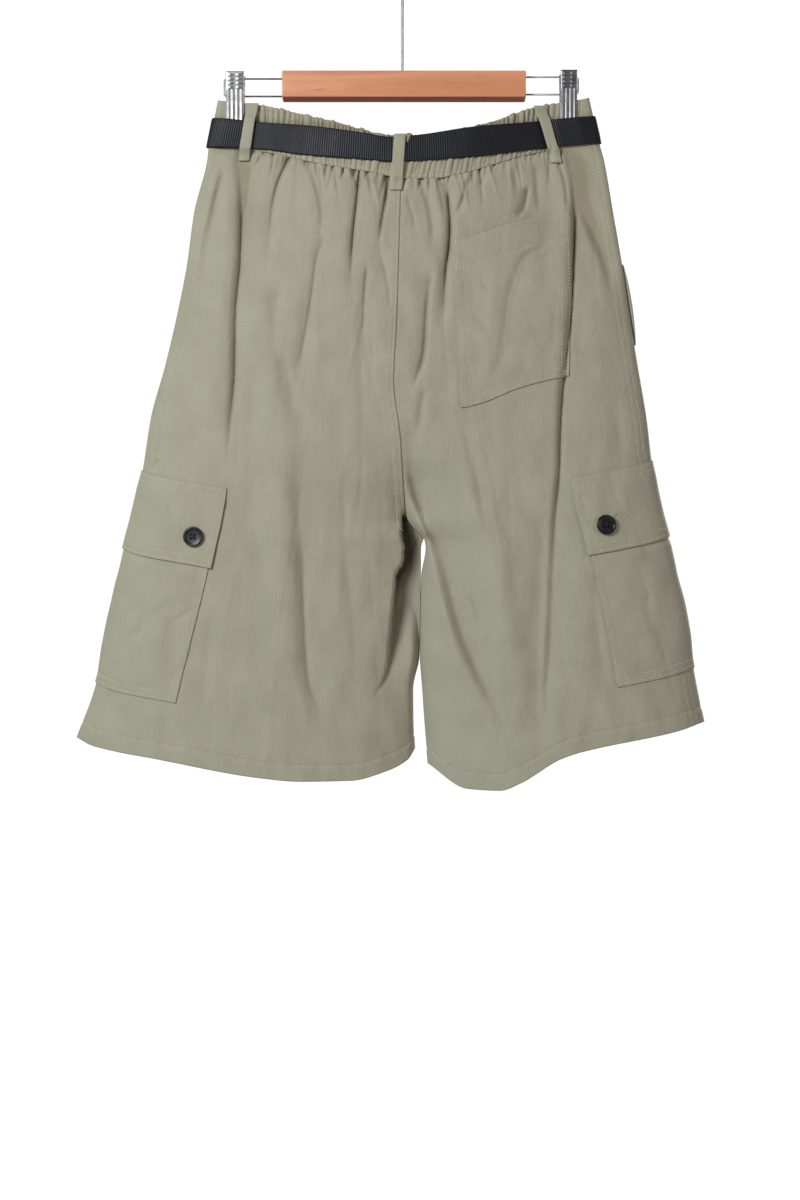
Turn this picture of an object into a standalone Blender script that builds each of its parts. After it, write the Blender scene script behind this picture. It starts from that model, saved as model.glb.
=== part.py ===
"""Cargo shorts hung by their waistband from a wooden clip hanger, one rigid part.

Lengths in this file are millimetres until a mesh is made; meshes are in metres.
X runs to the wearer's right, Y from the back of the shorts to their front, Z up.
The origin is the inside top of the hanger's hook, where a rail carries it.
"across" is a place along X. "level" is a drop below a mark 60 mm under the origin.
"depth" is how far a surface stands out from the plane of the side seams, Y = 0.
Places on the garment are tabled as an eye sees them, straight on to the back from
EYE_DISTANCE, and a place that stands out toward the eye is drawn in to its true one.
"""

import math
from typing import NamedTuple

import bmesh
import bpy
from mathutils import Vector

MARK = 60.0            # drop from the origin to level 0
LEFT, RIGHT = -1, 1    # the wearer's sides, along X
BACK, FRONT = -1, 1    # faces of the garment, along Y

EYE_DISTANCE = 1800.0  # from the plane of the side seams
EYE_ACROSS = -2.5
EYE_LEVEL = 600.0

CLOTH = 1.2            # cloth wall
CASING = 2.4           # waistband wall: two cloths round an elastic
GAP = 0.3              # between pieces that touch
ROUND = 2.2            # how square the sections are: 2 is an ellipse
CROTCH_LEVEL = 538.0
SPREAD_LEVEL = 400.0   # the hips begin to part into legs here
PINCH_LEVEL = 150.0    # above this the section is the clipped waist
FREE_LEVEL = 330.0     # below this the clips no longer shape it
CROTCH_V = 0.62        # share of the cloth's length that lies above the crotch
WAIST_LEVEL = 100.0    # top of the waistband at the sides
CENTRE_HEAD = 178.0    # level of the waist seam at the centre back
INSEAM_FOOT = 765.0    # level of the hem at the inseams
FOLD_ROOM = 12.0       # folds grow shallow where the cloth stands out less than this


# ---------------------------------------------------------------- tables of the garment

class Outline(NamedTuple):
    """Half width of each side of the body at a level."""
    level: float
    left: float
    right: float


class Centre(NamedTuple):
    """Where the centre-back seam lies at a level."""
    level: float
    across: float


class Inseam(NamedTuple):
    """Where the inner edge of each leg lies at a level."""
    level: float
    left: float
    right: float


class Edge(NamedTuple):
    """Level of an edge at a place across."""
    across: float
    level: float


class Fullness(NamedTuple):
    """Depth of the back and of the front at a level."""
    level: float
    back: float
    front: float


class Pinch(NamedTuple):
    """Depth of the clipped waist at a distance from the centre."""
    across: float
    depth: float


class Band(NamedTuple):
    """Upper and lower edge of the belt at a place across."""
    across: float
    top: float
    bottom: float


class Fold(NamedTuple):
    """A trough in the back, or a ridge where its depth is negative."""
    width: float
    depth: float
    fade_in: float
    fade_out: float
    path: tuple


OUTLINE = [
    Outline(WAIST_LEVEL, 184.5, 186.5),
    Outline(146, 193.7, 197.6),
    Outline(160, 195.3, 201.5),
    Outline(213, 208.5, 210.8),
    Outline(264, 215.5, 219.6),
    Outline(315, 225.5, 227.3),
    Outline(366, 237.5, 235.4),
    Outline(417, 251.5, 244.0),
    Outline(474, 260.5, 251.0),
    Outline(547, 277.3, 267.0),
    Outline(600, 289.0, 279.3),
    Outline(684, 306.6, 294.0),
    Outline(737, 325.5, 305.0),
]

CENTRE_SEAM = [
    Centre(CENTRE_HEAD, -1.7), Centre(330, -6.5), Centre(380, -9.0), Centre(436, -2.5),
    Centre(492, 1.0), Centre(517, 3.5), Centre(CROTCH_LEVEL, 21.5),
]

INSEAM = [
    Inseam(CROTCH_LEVEL, 21.5, 21.5),
    Inseam(547, 18.6, 24.2),
    Inseam(577, 17.6, 19.0),
    Inseam(655, 16.4, 18.0),
    Inseam(689, 10.8, 19.6),
    Inseam(717, 11.0, 21.5),
    Inseam(INSEAM_FOOT, 13.5, 25.5),
]

WAIST_SEAM = [
    Edge(-194, 146.5), Edge(-140, 152), Edge(-87.5, 163), Edge(-26.5, 173), Edge(1.5, 178.5),
    Edge(30.5, 178.5), Edge(62.5, 173), Edge(89.5, 165), Edge(130, 154), Edge(198, 143.5),
]

WAIST_TOP = [
    Edge(-184.5, 100), Edge(-143.5, 104), Edge(-111.5, 111), Edge(-68.5, 120.5), Edge(-40.5, 128.5),
    Edge(-17.5, 133.8), Edge(5, 134.5), Edge(40, 132), Edge(85.5, 122), Edge(131.5, 107),
    Edge(186.5, 97.5),
]

HEM = {
    LEFT: [
        Edge(-325.5, 737), Edge(-310.5, 745), Edge(-243.5, 759), Edge(-142.5, 777.5),
        Edge(-102.5, 781), Edge(-50.5, 780), Edge(-16.5, 771), Edge(6.5, 759), Edge(13.5, 748),
    ],
    RIGHT: [
        Edge(25.5, 763), Edge(64.5, 788), Edge(97.5, 790), Edge(117.5, 783), Edge(157.5, 759),
        Edge(177.5, 752), Edge(277.5, 730), Edge(301.5, 721),
    ],
}

SIDE_FOOT = {LEFT: 737.0, RIGHT: 721.0}      # level of the hem at the side seams
SIDE_HEAD = {LEFT: 146.5, RIGHT: 143.5}      # level of the waist seam there

FULLNESS = [
    Fullness(100, 23, 20),
    Fullness(250, 30, 26),
    Fullness(400, 34, 30),
    Fullness(538, 36, 33),
    Fullness(790, 45, 40),
]

PINCH = [
    Pinch(0, 23.0), Pinch(60, 21.0), Pinch(105, 14.5), Pinch(130, 8.0),
    Pinch(143, 4.8), Pinch(150, 3.7), Pinch(220, 3.7),
]
WAIST_END = 6.0        # the waist's flat ring turns round within this width at each side

# the largest folds of the back, as places (across, level) down each one
FOLDS = [
    Fold(9, 8.0, 30, 60, ((-162.5, 150), (-163.5, 200), (-163.5, 290), (-174.5, 417), (-178, 480))),
    Fold(8, 4.5, 25, 60, ((-111, 157), (-127, 200), (-134, 279), (-127, 330))),
    Fold(13, 6.0, 25, 80, ((-75, 167), (-76, 223), (-91, 290), (-101, 353), (-103, 470),
                           (-101, 570), (-92, 695), (-72, 735))),
    Fold(7, 5.0, 25, 50, ((-44.5, 172), (-46.5, 203), (-52, 272), (-49, 330))),
    Fold(6, 4.0, 25, 70, ((-12.5, 177), (-21, 220), (-23, 245), (-13, 300), (-9, 360))),
    Fold(12, -3.5, 40, 90, ((-184, 165), (-196, 226), (-206, 277), (-222, 340))),
    Fold(7, 9.0, 35, 50, ((0, 500), (9, 535), (3, 560), (-3, 590), (-6, 640), (-18, 672), (-37, 701))),
    Fold(6, 3.5, 20, 40, ((17.5, 182), (27, 215), (29, 240), (31, 262))),
    Fold(8, 7.0, 25, 60, ((43.5, 184), (46.5, 230), (43, 281), (39.5, 340))),
    Fold(8, 6.0, 40, 50, ((29, 262), (24, 310), (20, 367), (5, 400))),
    Fold(6, 3.5, 20, 30, ((127, 175), (120, 205), (114, 230))),
    Fold(9, 8.0, 30, 60, ((170.5, 160), (171, 208), (170, 256), (166, 313), (165, 370), (160, 420),
                          (152, 520), (149, 600), (145, 680), (141, 765))),
    Fold(11, 4.0, 30, 90, ((176, 165), (188, 230), (202, 290), (212, 340))),
    Fold(9, 7.0, 35, 50, ((28, 545), (50, 600), (68, 645), (82, 689), (112, 747))),
    Fold(14, -4.0, 60, 60, ((60, 470), (100, 600), (128, 700))),
]


# ---------------------------------------------------------------- lattice of the cloth

LINE_V = (0.0, 0.378, 0.549, 0.681, 0.907, 1.0)   # waist, seat, flap top, flap foot, pocket foot, hem


class Column(NamedTuple):
    """A line down a panel, by its share t from centre to side at each of LINE_V."""
    name: str
    waist: float
    seat: float
    flap_top: float
    flap_foot: float
    pocket_foot: float
    hem: float
    splits: tuple      # where the next columns lie, as shares of the way to the next line


SEAM_SPLITS = (0.05, 0.18, 0.38, 0.57, 0.78)
EVEN_SPLITS = (0.2, 0.4, 0.6, 0.8)
SIDE_SPLITS = (0.30, 0.56, 0.78, 0.92)

COLUMNS = {
    (BACK, LEFT): [
        Column("seam", 0, 0, 0, 0, 0, 0, SEAM_SPLITS),
        Column("drape", 0.39, 0.41, 0.40, 0.37, 0.28, 0.25, EVEN_SPLITS),
        Column("flap", 0.83, 0.71, 0.684, 0.700, 0.738, 0.745, ()),
        Column("pocket", 0.845, 0.725, 0.698, 0.709, 0.751, 0.757, SIDE_SPLITS),
        Column("side", 1, 1, 1, 1, 1, 1, ()),
    ],
    (BACK, RIGHT): [
        Column("seam", 0, 0, 0, 0, 0, 0, (0.08, 0.3, 0.55, 0.8)),
        Column("patch_inner", 0.245, 0.250, 0.255, 0.26, 0.27, 0.27, EVEN_SPLITS),
        Column("patch_outer", 0.83, 0.70, 0.61, 0.54, 0.46, 0.43, (0.5,)),
        Column("flap", 0.90, 0.80, 0.660, 0.680, 0.704, 0.712, ()),
        Column("pocket", 0.915, 0.815, 0.674, 0.691, 0.716, 0.726, SIDE_SPLITS),
        Column("side", 1, 1, 1, 1, 1, 1, ()),
    ],
    (FRONT, LEFT): [
        Column("seam", 0, 0, 0, 0, 0, 0, (0.06, 0.25, 0.5, 0.75)),
        Column("flap", 0.71, 0.70, 0.684, 0.700, 0.738, 0.745, ()),
        Column("pocket", 0.725, 0.715, 0.698, 0.709, 0.751, 0.757, SIDE_SPLITS),
        Column("side", 1, 1, 1, 1, 1, 1, ()),
    ],
    (FRONT, RIGHT): [
        Column("seam", 0, 0, 0, 0, 0, 0, (0.06, 0.25, 0.5, 0.75)),
        Column("flap", 0.70, 0.69, 0.660, 0.680, 0.704, 0.712, ()),
        Column("pocket", 0.715, 0.705, 0.674, 0.691, 0.716, 0.726, SIDE_SPLITS),
        Column("side", 1, 1, 1, 1, 1, 1, ()),
    ],
}

# rows of the cloth, as shares v of its length from waist seam to hem
ROWS = [
    0.0, 0.03, 0.07, 0.105, 0.155, 0.21, 0.28, 0.349, 0.378, 0.43, 0.49,
    0.549, 0.562, 0.585, CROTCH_V, 0.65, 0.681, 0.73, 0.79, 0.85, 0.907, 0.955, 1.0,
]
PATCH_ROWS = (0.105, 0.378)
FLAP_ROWS = (0.549, 0.681)
CARGO_ROWS = (0.585, 0.907)
SLASH_ROWS = (0.21, 0.349)
SLASH_COLUMNS = 4
SLASH_GAPE = {LEFT: 0.0, RIGHT: 3.5}         # how far the mouth stands open

# ---------------------------------------------------------------- sizes of the small pieces

GATHERS = 74               # ruffles of the elastic, over the gathered stretch of the back
GATHER_START = -158.0      # the band is smooth to the left of this
GATHER_END = 0.985         # and past this share of the right half
GATHER_HEIGHT = 0.55       # each ruffle stands in and out by this
BAND_DROPS = (0.0, 0.5, 1.0)                 # rows of the waistband, from its top to its seam
PLAIN_SHARES = (-1.0, -0.998, -0.99, -0.975, -0.955, -0.92, -0.88)
SIDE_TURN = 0.99           # the band turns round the side past this share
END_SHARES = (1.0, 0.998, 0.99, 0.975, 0.955, 0.92, 0.845, 0.80, 0.74, 0.65, 0.5, 0.35, 0.18)
BELT_SHARES = sorted({*END_SHARES, 0.94, 0.88, 0.82, 0.7, 0.6, 0.42, 0.27, 0.09}, reverse=True)
BELT_BUTT = 0.0008         # share at which each end of the belt stops, inside the buckle
BELT_LEVEL = 125.0         # level of the belt's upper edge at the sides
BELT_THICK = 1.6
BELT_CLEAR = 1.0           # belt off the waistband, over the ruffles
BELT_OVER_CLIP = 1.7       # more, over a clip's jaw
CLIP_HUMP = 14.0           # half width of the belt's hump over a jaw
CLIP_FADE = 6.0            # the ruffles are pressed flat this far from a jaw
LOOP_THICK = 1.6
LOOP_WIDTH = 11.0
LOOP_BELT_FOOT = 0.7       # a loop crosses the belt's lower edge at this share of its length
LOOP_TOP_CLEAR = 0.1       # its upper end over the ruffles
LOOP_PAST_BELT = {"top": 1.0, "bottom": 1.5, "tuck": 0.5}
BUCKLE = {"half_width": 22.0, "half_height": 18.0, "wall": 1.5}

BUTTON = {"radius": 9.9, "thick": 3.2, "rim": 2.0, "dish": 0.9, "hole_radius": 1.0, "hole_pitch": 1.9}
BUTTON_BACK = 0.8          # its back is narrower than its face by this
BUTTON_BULGE = 0.4         # and it is widest at this share of its height
BUTTON_SIDES = 16
BUTTON_CLEAR = 0.5         # it stands on the flap's thread, not on its cloth
BUTTON_SPREAD = 0.03       # share of the flap that its lie is read from

BAR = {"low": -120.0, "high": 123.0, "top": 73.2, "bottom": 99.8, "depth": 20.0, "edge": 1.5}
HOOK_WIRE = 1.5            # radius
HOOK_BEND = 22.0           # radius of its centreline
HOOK_NECK = [(0, 20), (0, -2), (1.2, -7), (4.6, -12)]    # (across, level) up from the bar
HOOK_ARC = (-55, 205)      # degrees of the bend, from its neck over the rail to its tip
WIRE = 0.9                 # radius of the clips' wires
WIRE_CORNER = 3.0
SOCKET = 16.0              # depth of the holes in the bar

BELT = [
    Band(-194, 118.5, 147.5), Band(-140.5, 123.4, 149.3), Band(-97.5, 126.3, 155),
    Band(-40.5, 133.5, 159.3), Band(-11.5, 137.8, 161.6), Band(17.5, 135.5, 160.7),
    Band(74.5, 127.3, 156.4), Band(131.5, 122.8, 149.3), Band(197, 116.5, 143.0),
]


class Loop(NamedTuple):
    """A belt loop: its face, and the middle of its upper and lower end."""
    name: str
    face: int
    top_across: float
    top_level: float
    foot_across: float
    foot_level: float


LOOPS = [
    Loop("loop_back_left", BACK, -149.2, 104, -158.8, 161),
    Loop("loop_back_centre", BACK, -2.5, 134.4, -6.2, 190),
    Loop("loop_back_right", BACK, 136.3, 106.5, 153.8, 163),
    Loop("loop_front_left", FRONT, -120.0, 107, -124.0, 163),
    Loop("loop_front_right", FRONT, 120.0, 110.5, 124.0, 165),
]


class Clip(NamedTuple):
    """A clip and the wire that carries it."""
    name: str
    side: int
    low: float         # jaw's edges across
    high: float
    top: float         # level of the jaw's top
    wire_top: float    # levels of the wire's two legs
    wire_bottom: float
    wire_end: float    # how far out the wire's bend reaches


CLIPS = [
    Clip("left", LEFT, -175.8, -158.0, 74.0, 79.0, 96.5, 179.0),
    Clip("right", RIGHT, 157.6, 174.0, 72.5, 77.2, 94.6, 176.5),
]
JAW_FOOT = 125.0           # level of the jaws' tips, under the belt
JAW_BITE = 104.0           # they lie flat on the waistband below this level
JAW_THICK = 1.4
JAW_RIB = 0.5
JAW_LEVELS = (79.0, 90.0, 92.0, 104.0, 114.0)   # rows between its top and its tip
JAW_RIBS_FROM = 91.0       # level where its four ribs begin
JAW_RIBS = 4
CORE_INSET = 2.0           # spring block inside the jaws' edges
JAW_OPEN = 8.3             # depth of the jaws' inner side at their top
PINCH_DEPTH = PINCH[-1].depth


class Paint(NamedTuple):
    """A finish: colour, roughness and metallic value."""
    name: str
    colour: tuple
    roughness: float
    metallic: float


TWILL = Paint("sage_cloth", (0.36, 0.33, 0.25), 0.75, 0.0)
WEBBING = Paint("black_webbing", (0.018, 0.018, 0.024), 0.45, 0.0)
HORN = Paint("dark_button", (0.012, 0.013, 0.018), 0.25, 0.0)
WOOD = Paint("cherry_wood", (0.62, 0.26, 0.14), 0.45, 0.0)
NICKEL = Paint("bright_nickel", (0.75, 0.75, 0.77), 0.2, 1.0)


# ---------------------------------------------------------------- reading tables

def curve_through(pairs):
    """Return a smooth function through (x, y) pairs, level past its ends."""
    xs, ys = zip(*pairs)
    rises = [(y1 - y0) / (x1 - x0) for x0, x1, y0, y1 in zip(xs, xs[1:], ys, ys[1:])]
    inner = [2 * a * b / (a + b) if a * b > 0 else 0.0 for a, b in zip(rises, rises[1:])]
    slopes = [rises[0], *inner, rises[-1]]

    def read(x):
        x = min(max(x, xs[0]), xs[-1])
        i = max(k for k in range(len(xs) - 1) if xs[k] <= x)
        span = xs[i + 1] - xs[i]
        s = (x - xs[i]) / span
        blend = s * s * (3 - 2 * s)
        bend = span * s * (1 - s) * (slopes[i] * (1 - s) - slopes[i + 1] * s)
        return ys[i] * (1 - blend) + ys[i + 1] * blend + bend

    return read


def reader(rows, key, value):
    """Return a smooth function through one column of a table."""
    return curve_through([(getattr(row, key), getattr(row, value)) for row in rows])


def lerp(a, b, share):
    """Mix two numbers."""
    return a + (b - a) * share


def smooth(share):
    """Ease from 0 to 1."""
    s = min(max(share, 0.0), 1.0)
    return s * s * (3 - 2 * s)


half_width = {LEFT: reader(OUTLINE, "level", "left"), RIGHT: reader(OUTLINE, "level", "right")}
centre_seam = reader(CENTRE_SEAM, "level", "across")
inseam = {LEFT: reader(INSEAM, "level", "left"), RIGHT: reader(INSEAM, "level", "right")}
waist_seam = reader(WAIST_SEAM, "across", "level")
waist_top = reader(WAIST_TOP, "across", "level")
hem = {side: reader(rows, "across", "level") for side, rows in HEM.items()}
fullness = {BACK: reader(FULLNESS, "level", "back"), FRONT: reader(FULLNESS, "level", "front")}
pinch = reader(PINCH, "across", "depth")
belt_top = reader(BELT, "across", "top")
belt_bottom = reader(BELT, "across", "bottom")
fold_lines = [(fold, curve_through([(level, across) for across, level in fold.path])) for fold in FOLDS]


# ---------------------------------------------------------------- surface of the garment

def inner_edge(side, level):
    """Across of the centre seam, or of the inseam below the crotch."""
    if level < CROTCH_LEVEL:
        return centre_seam(level) + side * GAP / 2
    return inseam[side](level)


def outer_edge(side, level):
    """Across of the side seam."""
    return side * half_width[side](level)


def flat_place(side, t, v):
    """Across and level of a point of one half: t from centre to side seam, v from waist to hem."""
    head_in = inner_edge(side, CENTRE_HEAD)
    head_out = outer_edge(side, SIDE_HEAD[side])
    foot_in = inner_edge(side, INSEAM_FOOT)
    foot_out = outer_edge(side, SIDE_FOOT[side])

    def head(share):
        across = lerp(head_in, head_out, share)
        return Vector((across, waist_seam(across)))

    def foot(share):
        across = lerp(foot_in, foot_out, share)
        return Vector((across, hem[side](across)))

    head_0, head_1, foot_0, foot_1 = head(0), head(1), foot(0), foot(1)
    if v < CROTCH_V:
        inner_level = lerp(head_0.y, CROTCH_LEVEL, v / CROTCH_V)
    else:
        inner_level = lerp(CROTCH_LEVEL, foot_0.y, (v - CROTCH_V) / (1 - CROTCH_V))
    outer_level = lerp(head_1.y, foot_1.y, v)
    inner = Vector((inner_edge(side, inner_level), inner_level))
    outer = Vector((outer_edge(side, outer_level), outer_level))
    ruled = head(t) * (1 - v) + foot(t) * v
    inner_bow = inner - (head_0 * (1 - v) + foot_0 * v)
    outer_bow = outer - (head_1 * (1 - v) + foot_1 * v)
    return ruled + inner_bow * (1 - t) ** 3 + outer_bow * t


def clipped_depth(across, half):
    """Depth of the waist where the clips hold it, turning round at the side."""
    turn = max(0.0, (abs(across) - (half - WAIST_END)) / WAIST_END)
    return pinch(abs(across)) * math.sqrt(max(0.0, 1 - min(turn, 1.0) ** 2))


def fold_depth(across, level):
    """How far the folds press the back in at a place."""
    total = 0.0
    for fold, line in fold_lines:
        start, end = fold.path[0][1], fold.path[-1][1]
        if start < level < end:
            off = (across - line(level)) / fold.width
            ends = smooth((level - start) / fold.fade_in) * smooth((end - level) / fold.fade_out)
            total += fold.depth * ends * math.exp(-off * off)
    return total


def cloth_depth(side, face, across, level):
    """Depth of the outer side of a panel at a place."""
    inner, outer = inner_edge(side, level), outer_edge(side, level)
    t = min(max((across - inner) / (outer - inner), 0.0), 1.0)
    parting = math.sin(math.pi / 2 * smooth((level - SPREAD_LEVEL) / (CROTCH_LEVEL - SPREAD_LEVEL)))
    s = t * (1 + parting) - parting
    swell = (1 - abs(s) ** ROUND) ** (1 / ROUND)
    free = smooth((level - PINCH_LEVEL) / (FREE_LEVEL - PINCH_LEVEL))
    depth = lerp(clipped_depth(across, abs(outer)), fullness[face](level) * swell, free)
    if face == BACK:
        depth -= fold_depth(across, level) * min(1.0, depth / FOLD_ROOM)
    return max(depth, 0.0)


def true_place(face, across, level, depth):
    """The point in space that the eye sees at a place, at a depth on one face."""
    if face == BACK:
        nearer = 1 - depth / EYE_DISTANCE
        across = EYE_ACROSS + (across - EYE_ACROSS) * nearer
        level = EYE_LEVEL + (level - EYE_LEVEL) * nearer
    return Vector((across, face * (depth + GAP / 2), -(MARK + level)))


def cloth_point(side, face, t, v):
    """A point of a panel's outer side."""
    across, level = flat_place(side, t, v)
    return true_place(face, across, level, cloth_depth(side, face, across, level))


def outward(point_at, t, v, sign, step=0.002):
    """Unit direction out of a surface, from its slopes."""
    t0, t1 = max(t - step, 0.0), min(t + step, 1.0)
    v0, v1 = max(v - step, 0.0), min(v + step, 1.0)
    along_t = point_at(t1, v) - point_at(t0, v)
    along_v = point_at(t, v1) - point_at(t, v0)
    return (along_t.cross(along_v) * sign).normalized()


def column_shares(side, face, v):
    """Shares t of all columns of a panel at v, and where each named column stands in them."""
    columns = COLUMNS[(face, side)]
    marks = [curve_through(list(zip(LINE_V, column[1:7])))(v) for column in columns]
    shares, places = [], {}
    for column, here, after in zip(columns, marks, marks[1:] + [1.0]):
        places[column.name] = len(shares)
        shares += [here] + [lerp(here, after, split) for split in column.splits]
    return shares, places


def lattice(side, face):
    """All points of a panel with their outward directions, by row and column."""
    rows = []
    for v in ROWS:
        shares, _ = column_shares(side, face, v)
        rows.append([
            (cloth_point(side, face, t, v),
             outward(lambda a, b: cloth_point(side, face, a, b), t, v, side * face))
            for t in shares
        ])
    return rows


LATTICE = {(face, side): lattice(side, face) for face in (BACK, FRONT) for side in (LEFT, RIGHT)}
PLACES = {key: column_shares(key[1], key[0], 0.0)[1] for key in COLUMNS}


def row_range(span):
    """Numbers of the rows from one v to another."""
    return range(ROWS.index(span[0]), ROWS.index(span[1]) + 1)


# ---------------------------------------------------------------- making solids

def finish(paint):
    """The material of a finish, made once."""
    material = bpy.data.materials.get(paint.name)
    if material is None:
        material = bpy.data.materials.new(paint.name)
        material.use_nodes = True
        shader = material.node_tree.nodes["Principled BSDF"]
        shader.inputs["Base Color"].default_value = (*paint.colour, 1.0)
        shader.inputs["Roughness"].default_value = paint.roughness
        shader.inputs["Metallic"].default_value = paint.metallic
    return material


def add_object(name, data, paint):
    """Put a mesh or curve in the scene under a name."""
    data.materials.append(finish(paint))
    thing = bpy.data.objects.new(name, data)
    bpy.context.scene.collection.objects.link(thing)
    return thing


def mesh_object(name, bm, paint):
    """Turn a bmesh in millimetres into a closed, outward-facing object in metres."""
    bmesh.ops.scale(bm, vec=(0.001, 0.001, 0.001), verts=bm.verts)
    bmesh.ops.recalc_face_normals(bm, faces=bm.faces)
    mesh = bpy.data.meshes.new(name)
    bm.to_mesh(mesh)
    bm.free()
    mesh.shade_smooth()
    mesh.set_sharp_from_angle(angle=math.radians(35))
    return add_object(name, mesh, paint)


def wall_between(name, outer, inner, paint):
    """Closed wall between two grids of points with the same rows and columns."""
    bm = bmesh.new()
    sheets = [[[bm.verts.new(p) for p in row] for row in grid] for grid in (outer, inner)]
    rows, columns = len(outer), len(outer[0])

    def quad(a, b, c, d):
        bm.faces.new((a, b, c))
        bm.faces.new((a, c, d))

    for i in range(rows - 1):
        for j in range(columns - 1):
            for sheet in sheets:
                quad(sheet[i][j], sheet[i][j + 1], sheet[i + 1][j + 1], sheet[i + 1][j])
    top, bottom = sheets
    for i in range(rows - 1):
        for j in (0, columns - 1):
            quad(top[i][j], top[i + 1][j], bottom[i + 1][j], bottom[i][j])
    for j in range(columns - 1):
        for i in (0, rows - 1):
            quad(top[i][j], top[i][j + 1], bottom[i][j + 1], bottom[i][j])
    return mesh_object(name, bm, paint)


def raised(grid, lift):
    """Points of a grid moved out, by one distance or by one for each row and column."""
    by_place = lift if callable(lift) else lambda i, j: lift
    return [[point + out * by_place(i, j) for j, (point, out) in enumerate(row)]
            for i, row in enumerate(grid)]


# ---------------------------------------------------------------- cloth pieces

def make_panel(name, side, face):
    """Back or front of one leg and hip."""
    grid = LATTICE[(face, side)]
    inner = raised(grid, -CLOTH)
    for row in inner:
        for point in row:
            point.y = face * max(face * point.y, GAP / 2)
    outer = raised(grid, 0.0)
    keep = max if side == RIGHT else min
    for row, outer_row, v in zip(inner, outer, ROWS):
        if v <= CROTCH_V:
            for point in row:
                point.x = keep(point.x, outer_row[0].x)
    return wall_between(name, outer, inner, TWILL)


def make_rear_pocket():
    """Patch pocket on the wearer's right."""
    places = PLACES[(BACK, RIGHT)]
    grid = [LATTICE[(BACK, RIGHT)][i][places["patch_inner"]:places["patch_outer"] + 1]
            for i in row_range(PATCH_ROWS)]
    return wall_between("rear_pocket", raised(grid, GAP + CLOTH), raised(grid, GAP), TWILL)


def wrapped_rows(side, span, column):
    """Rows that run from a named column of the back, round the side seam, to that of the front."""
    rows = []
    back_start = PLACES[(BACK, side)][column]
    front_start = PLACES[(FRONT, side)][column]
    for i in row_range(span):
        back = LATTICE[(BACK, side)][i][back_start:-1]
        front = LATTICE[(FRONT, side)][i][front_start:-1]
        edge = LATTICE[(BACK, side)][i][-1][0]
        seam = (Vector((edge.x, 0.0, edge.z)), Vector((side, 0.0, 0.0)))
        rows.append([*back, seam, *reversed(front)])
    return rows


def make_cargo_pocket(name, side):
    """Body of a cargo pocket, round the side seam."""
    grid = wrapped_rows(side, CARGO_ROWS, "pocket")
    return wall_between(name, raised(grid, GAP + CLOTH), raised(grid, GAP), TWILL)


def flap_lift(row):
    """Height of a flap's underside: sewn down at its top row, over the pocket below it."""
    return GAP if row == 0 else 2 * GAP + CLOTH


def make_cargo_flap(name, side):
    """Flap over a cargo pocket, round the side seam."""
    grid = wrapped_rows(side, FLAP_ROWS, "flap")
    outer = raised(grid, lambda i, j: flap_lift(i) + CLOTH)
    inner = raised(grid, lambda i, j: flap_lift(i))
    return wall_between(name, outer, inner, TWILL)


def make_slash_pocket(name, side, gape):
    """Edge of a slash pocket on the front: at the side seam where it gapes, or just short of it."""
    front = LATTICE[(FRONT, side)]
    rows = row_range(SLASH_ROWS)
    if gape:
        grid = [front[i][-SLASH_COLUMNS:-1] + [(front[i][-1][0], Vector((side, 0.0, 0.0)))] for i in rows]
    else:
        grid = [front[i][-SLASH_COLUMNS - 1:-1] for i in rows]
    middle = (len(grid) - 1) / 2

    def lift(i, j):
        bow = 1 - ((i - middle) / middle) ** 2
        return GAP + gape * bow * (j / (SLASH_COLUMNS - 1)) ** 2

    outer = raised(grid, lambda i, j: lift(i, j) + CLOTH)
    return wall_between(name, outer, raised(grid, lift), TWILL)


# ---------------------------------------------------------------- waistband, belt and loops

def band_place(face, share, drop):
    """A point of the waistband: share from -1 to 1 across, drop from 0 at its top to 1."""
    side = LEFT if share < 0 else RIGHT
    top_across = share * half_width[side](WAIST_LEVEL)
    seam_across = share * half_width[side](SIDE_HEAD[side])
    across = lerp(top_across, seam_across, drop)
    top = waist_top(top_across)
    level = lerp(top, waist_seam(seam_across) - GAP, drop)
    half = lerp(half_width[side](WAIST_LEVEL), half_width[side](SIDE_HEAD[side]), drop)
    return true_place(face, across, level, clipped_depth(across, half))


def band_outward(face, share, drop):
    """Unit direction out of the waistband."""
    step = 0.002
    s0, s1 = max(share - step, -1.0), min(share + step, 1.0)
    along = band_place(face, s1, drop) - band_place(face, s0, drop)
    return (along.cross(Vector((0, 0, -1))) * face).normalized()


def under_clip(across):
    """1 where a jaw holds the cloth flat, 0 clear of it."""
    near = min(max(clip.low - across, across - clip.high, 0.0) for clip in CLIPS)
    return 1 - smooth(near / CLIP_FADE)


def gathered_shares():
    """Places across the gathered back, two for each gather, a little unevenly spaced."""
    start = GATHER_START / half_width[LEFT](WAIST_LEVEL)
    count = GATHERS * 2
    shares = []
    for k in range(count + 1):
        even = k / count
        uneven = even + 0.0022 * math.sin(23 * even) + 0.0012 * math.sin(61 * even + 1.0)
        shares.append(lerp(start, GATHER_END, uneven))
    return shares


def ruffle(k, share, across):
    """How far the gathered cloth stands out at its kth place."""
    if k < 0 or abs(share) > SIDE_TURN:
        return 0.0
    up = 1 if k % 2 == 0 else -1
    lively = 0.75 + 0.25 * math.sin(2.3 * k)
    return up * lively * GATHER_HEIGHT * (1 - under_clip(across))


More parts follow.
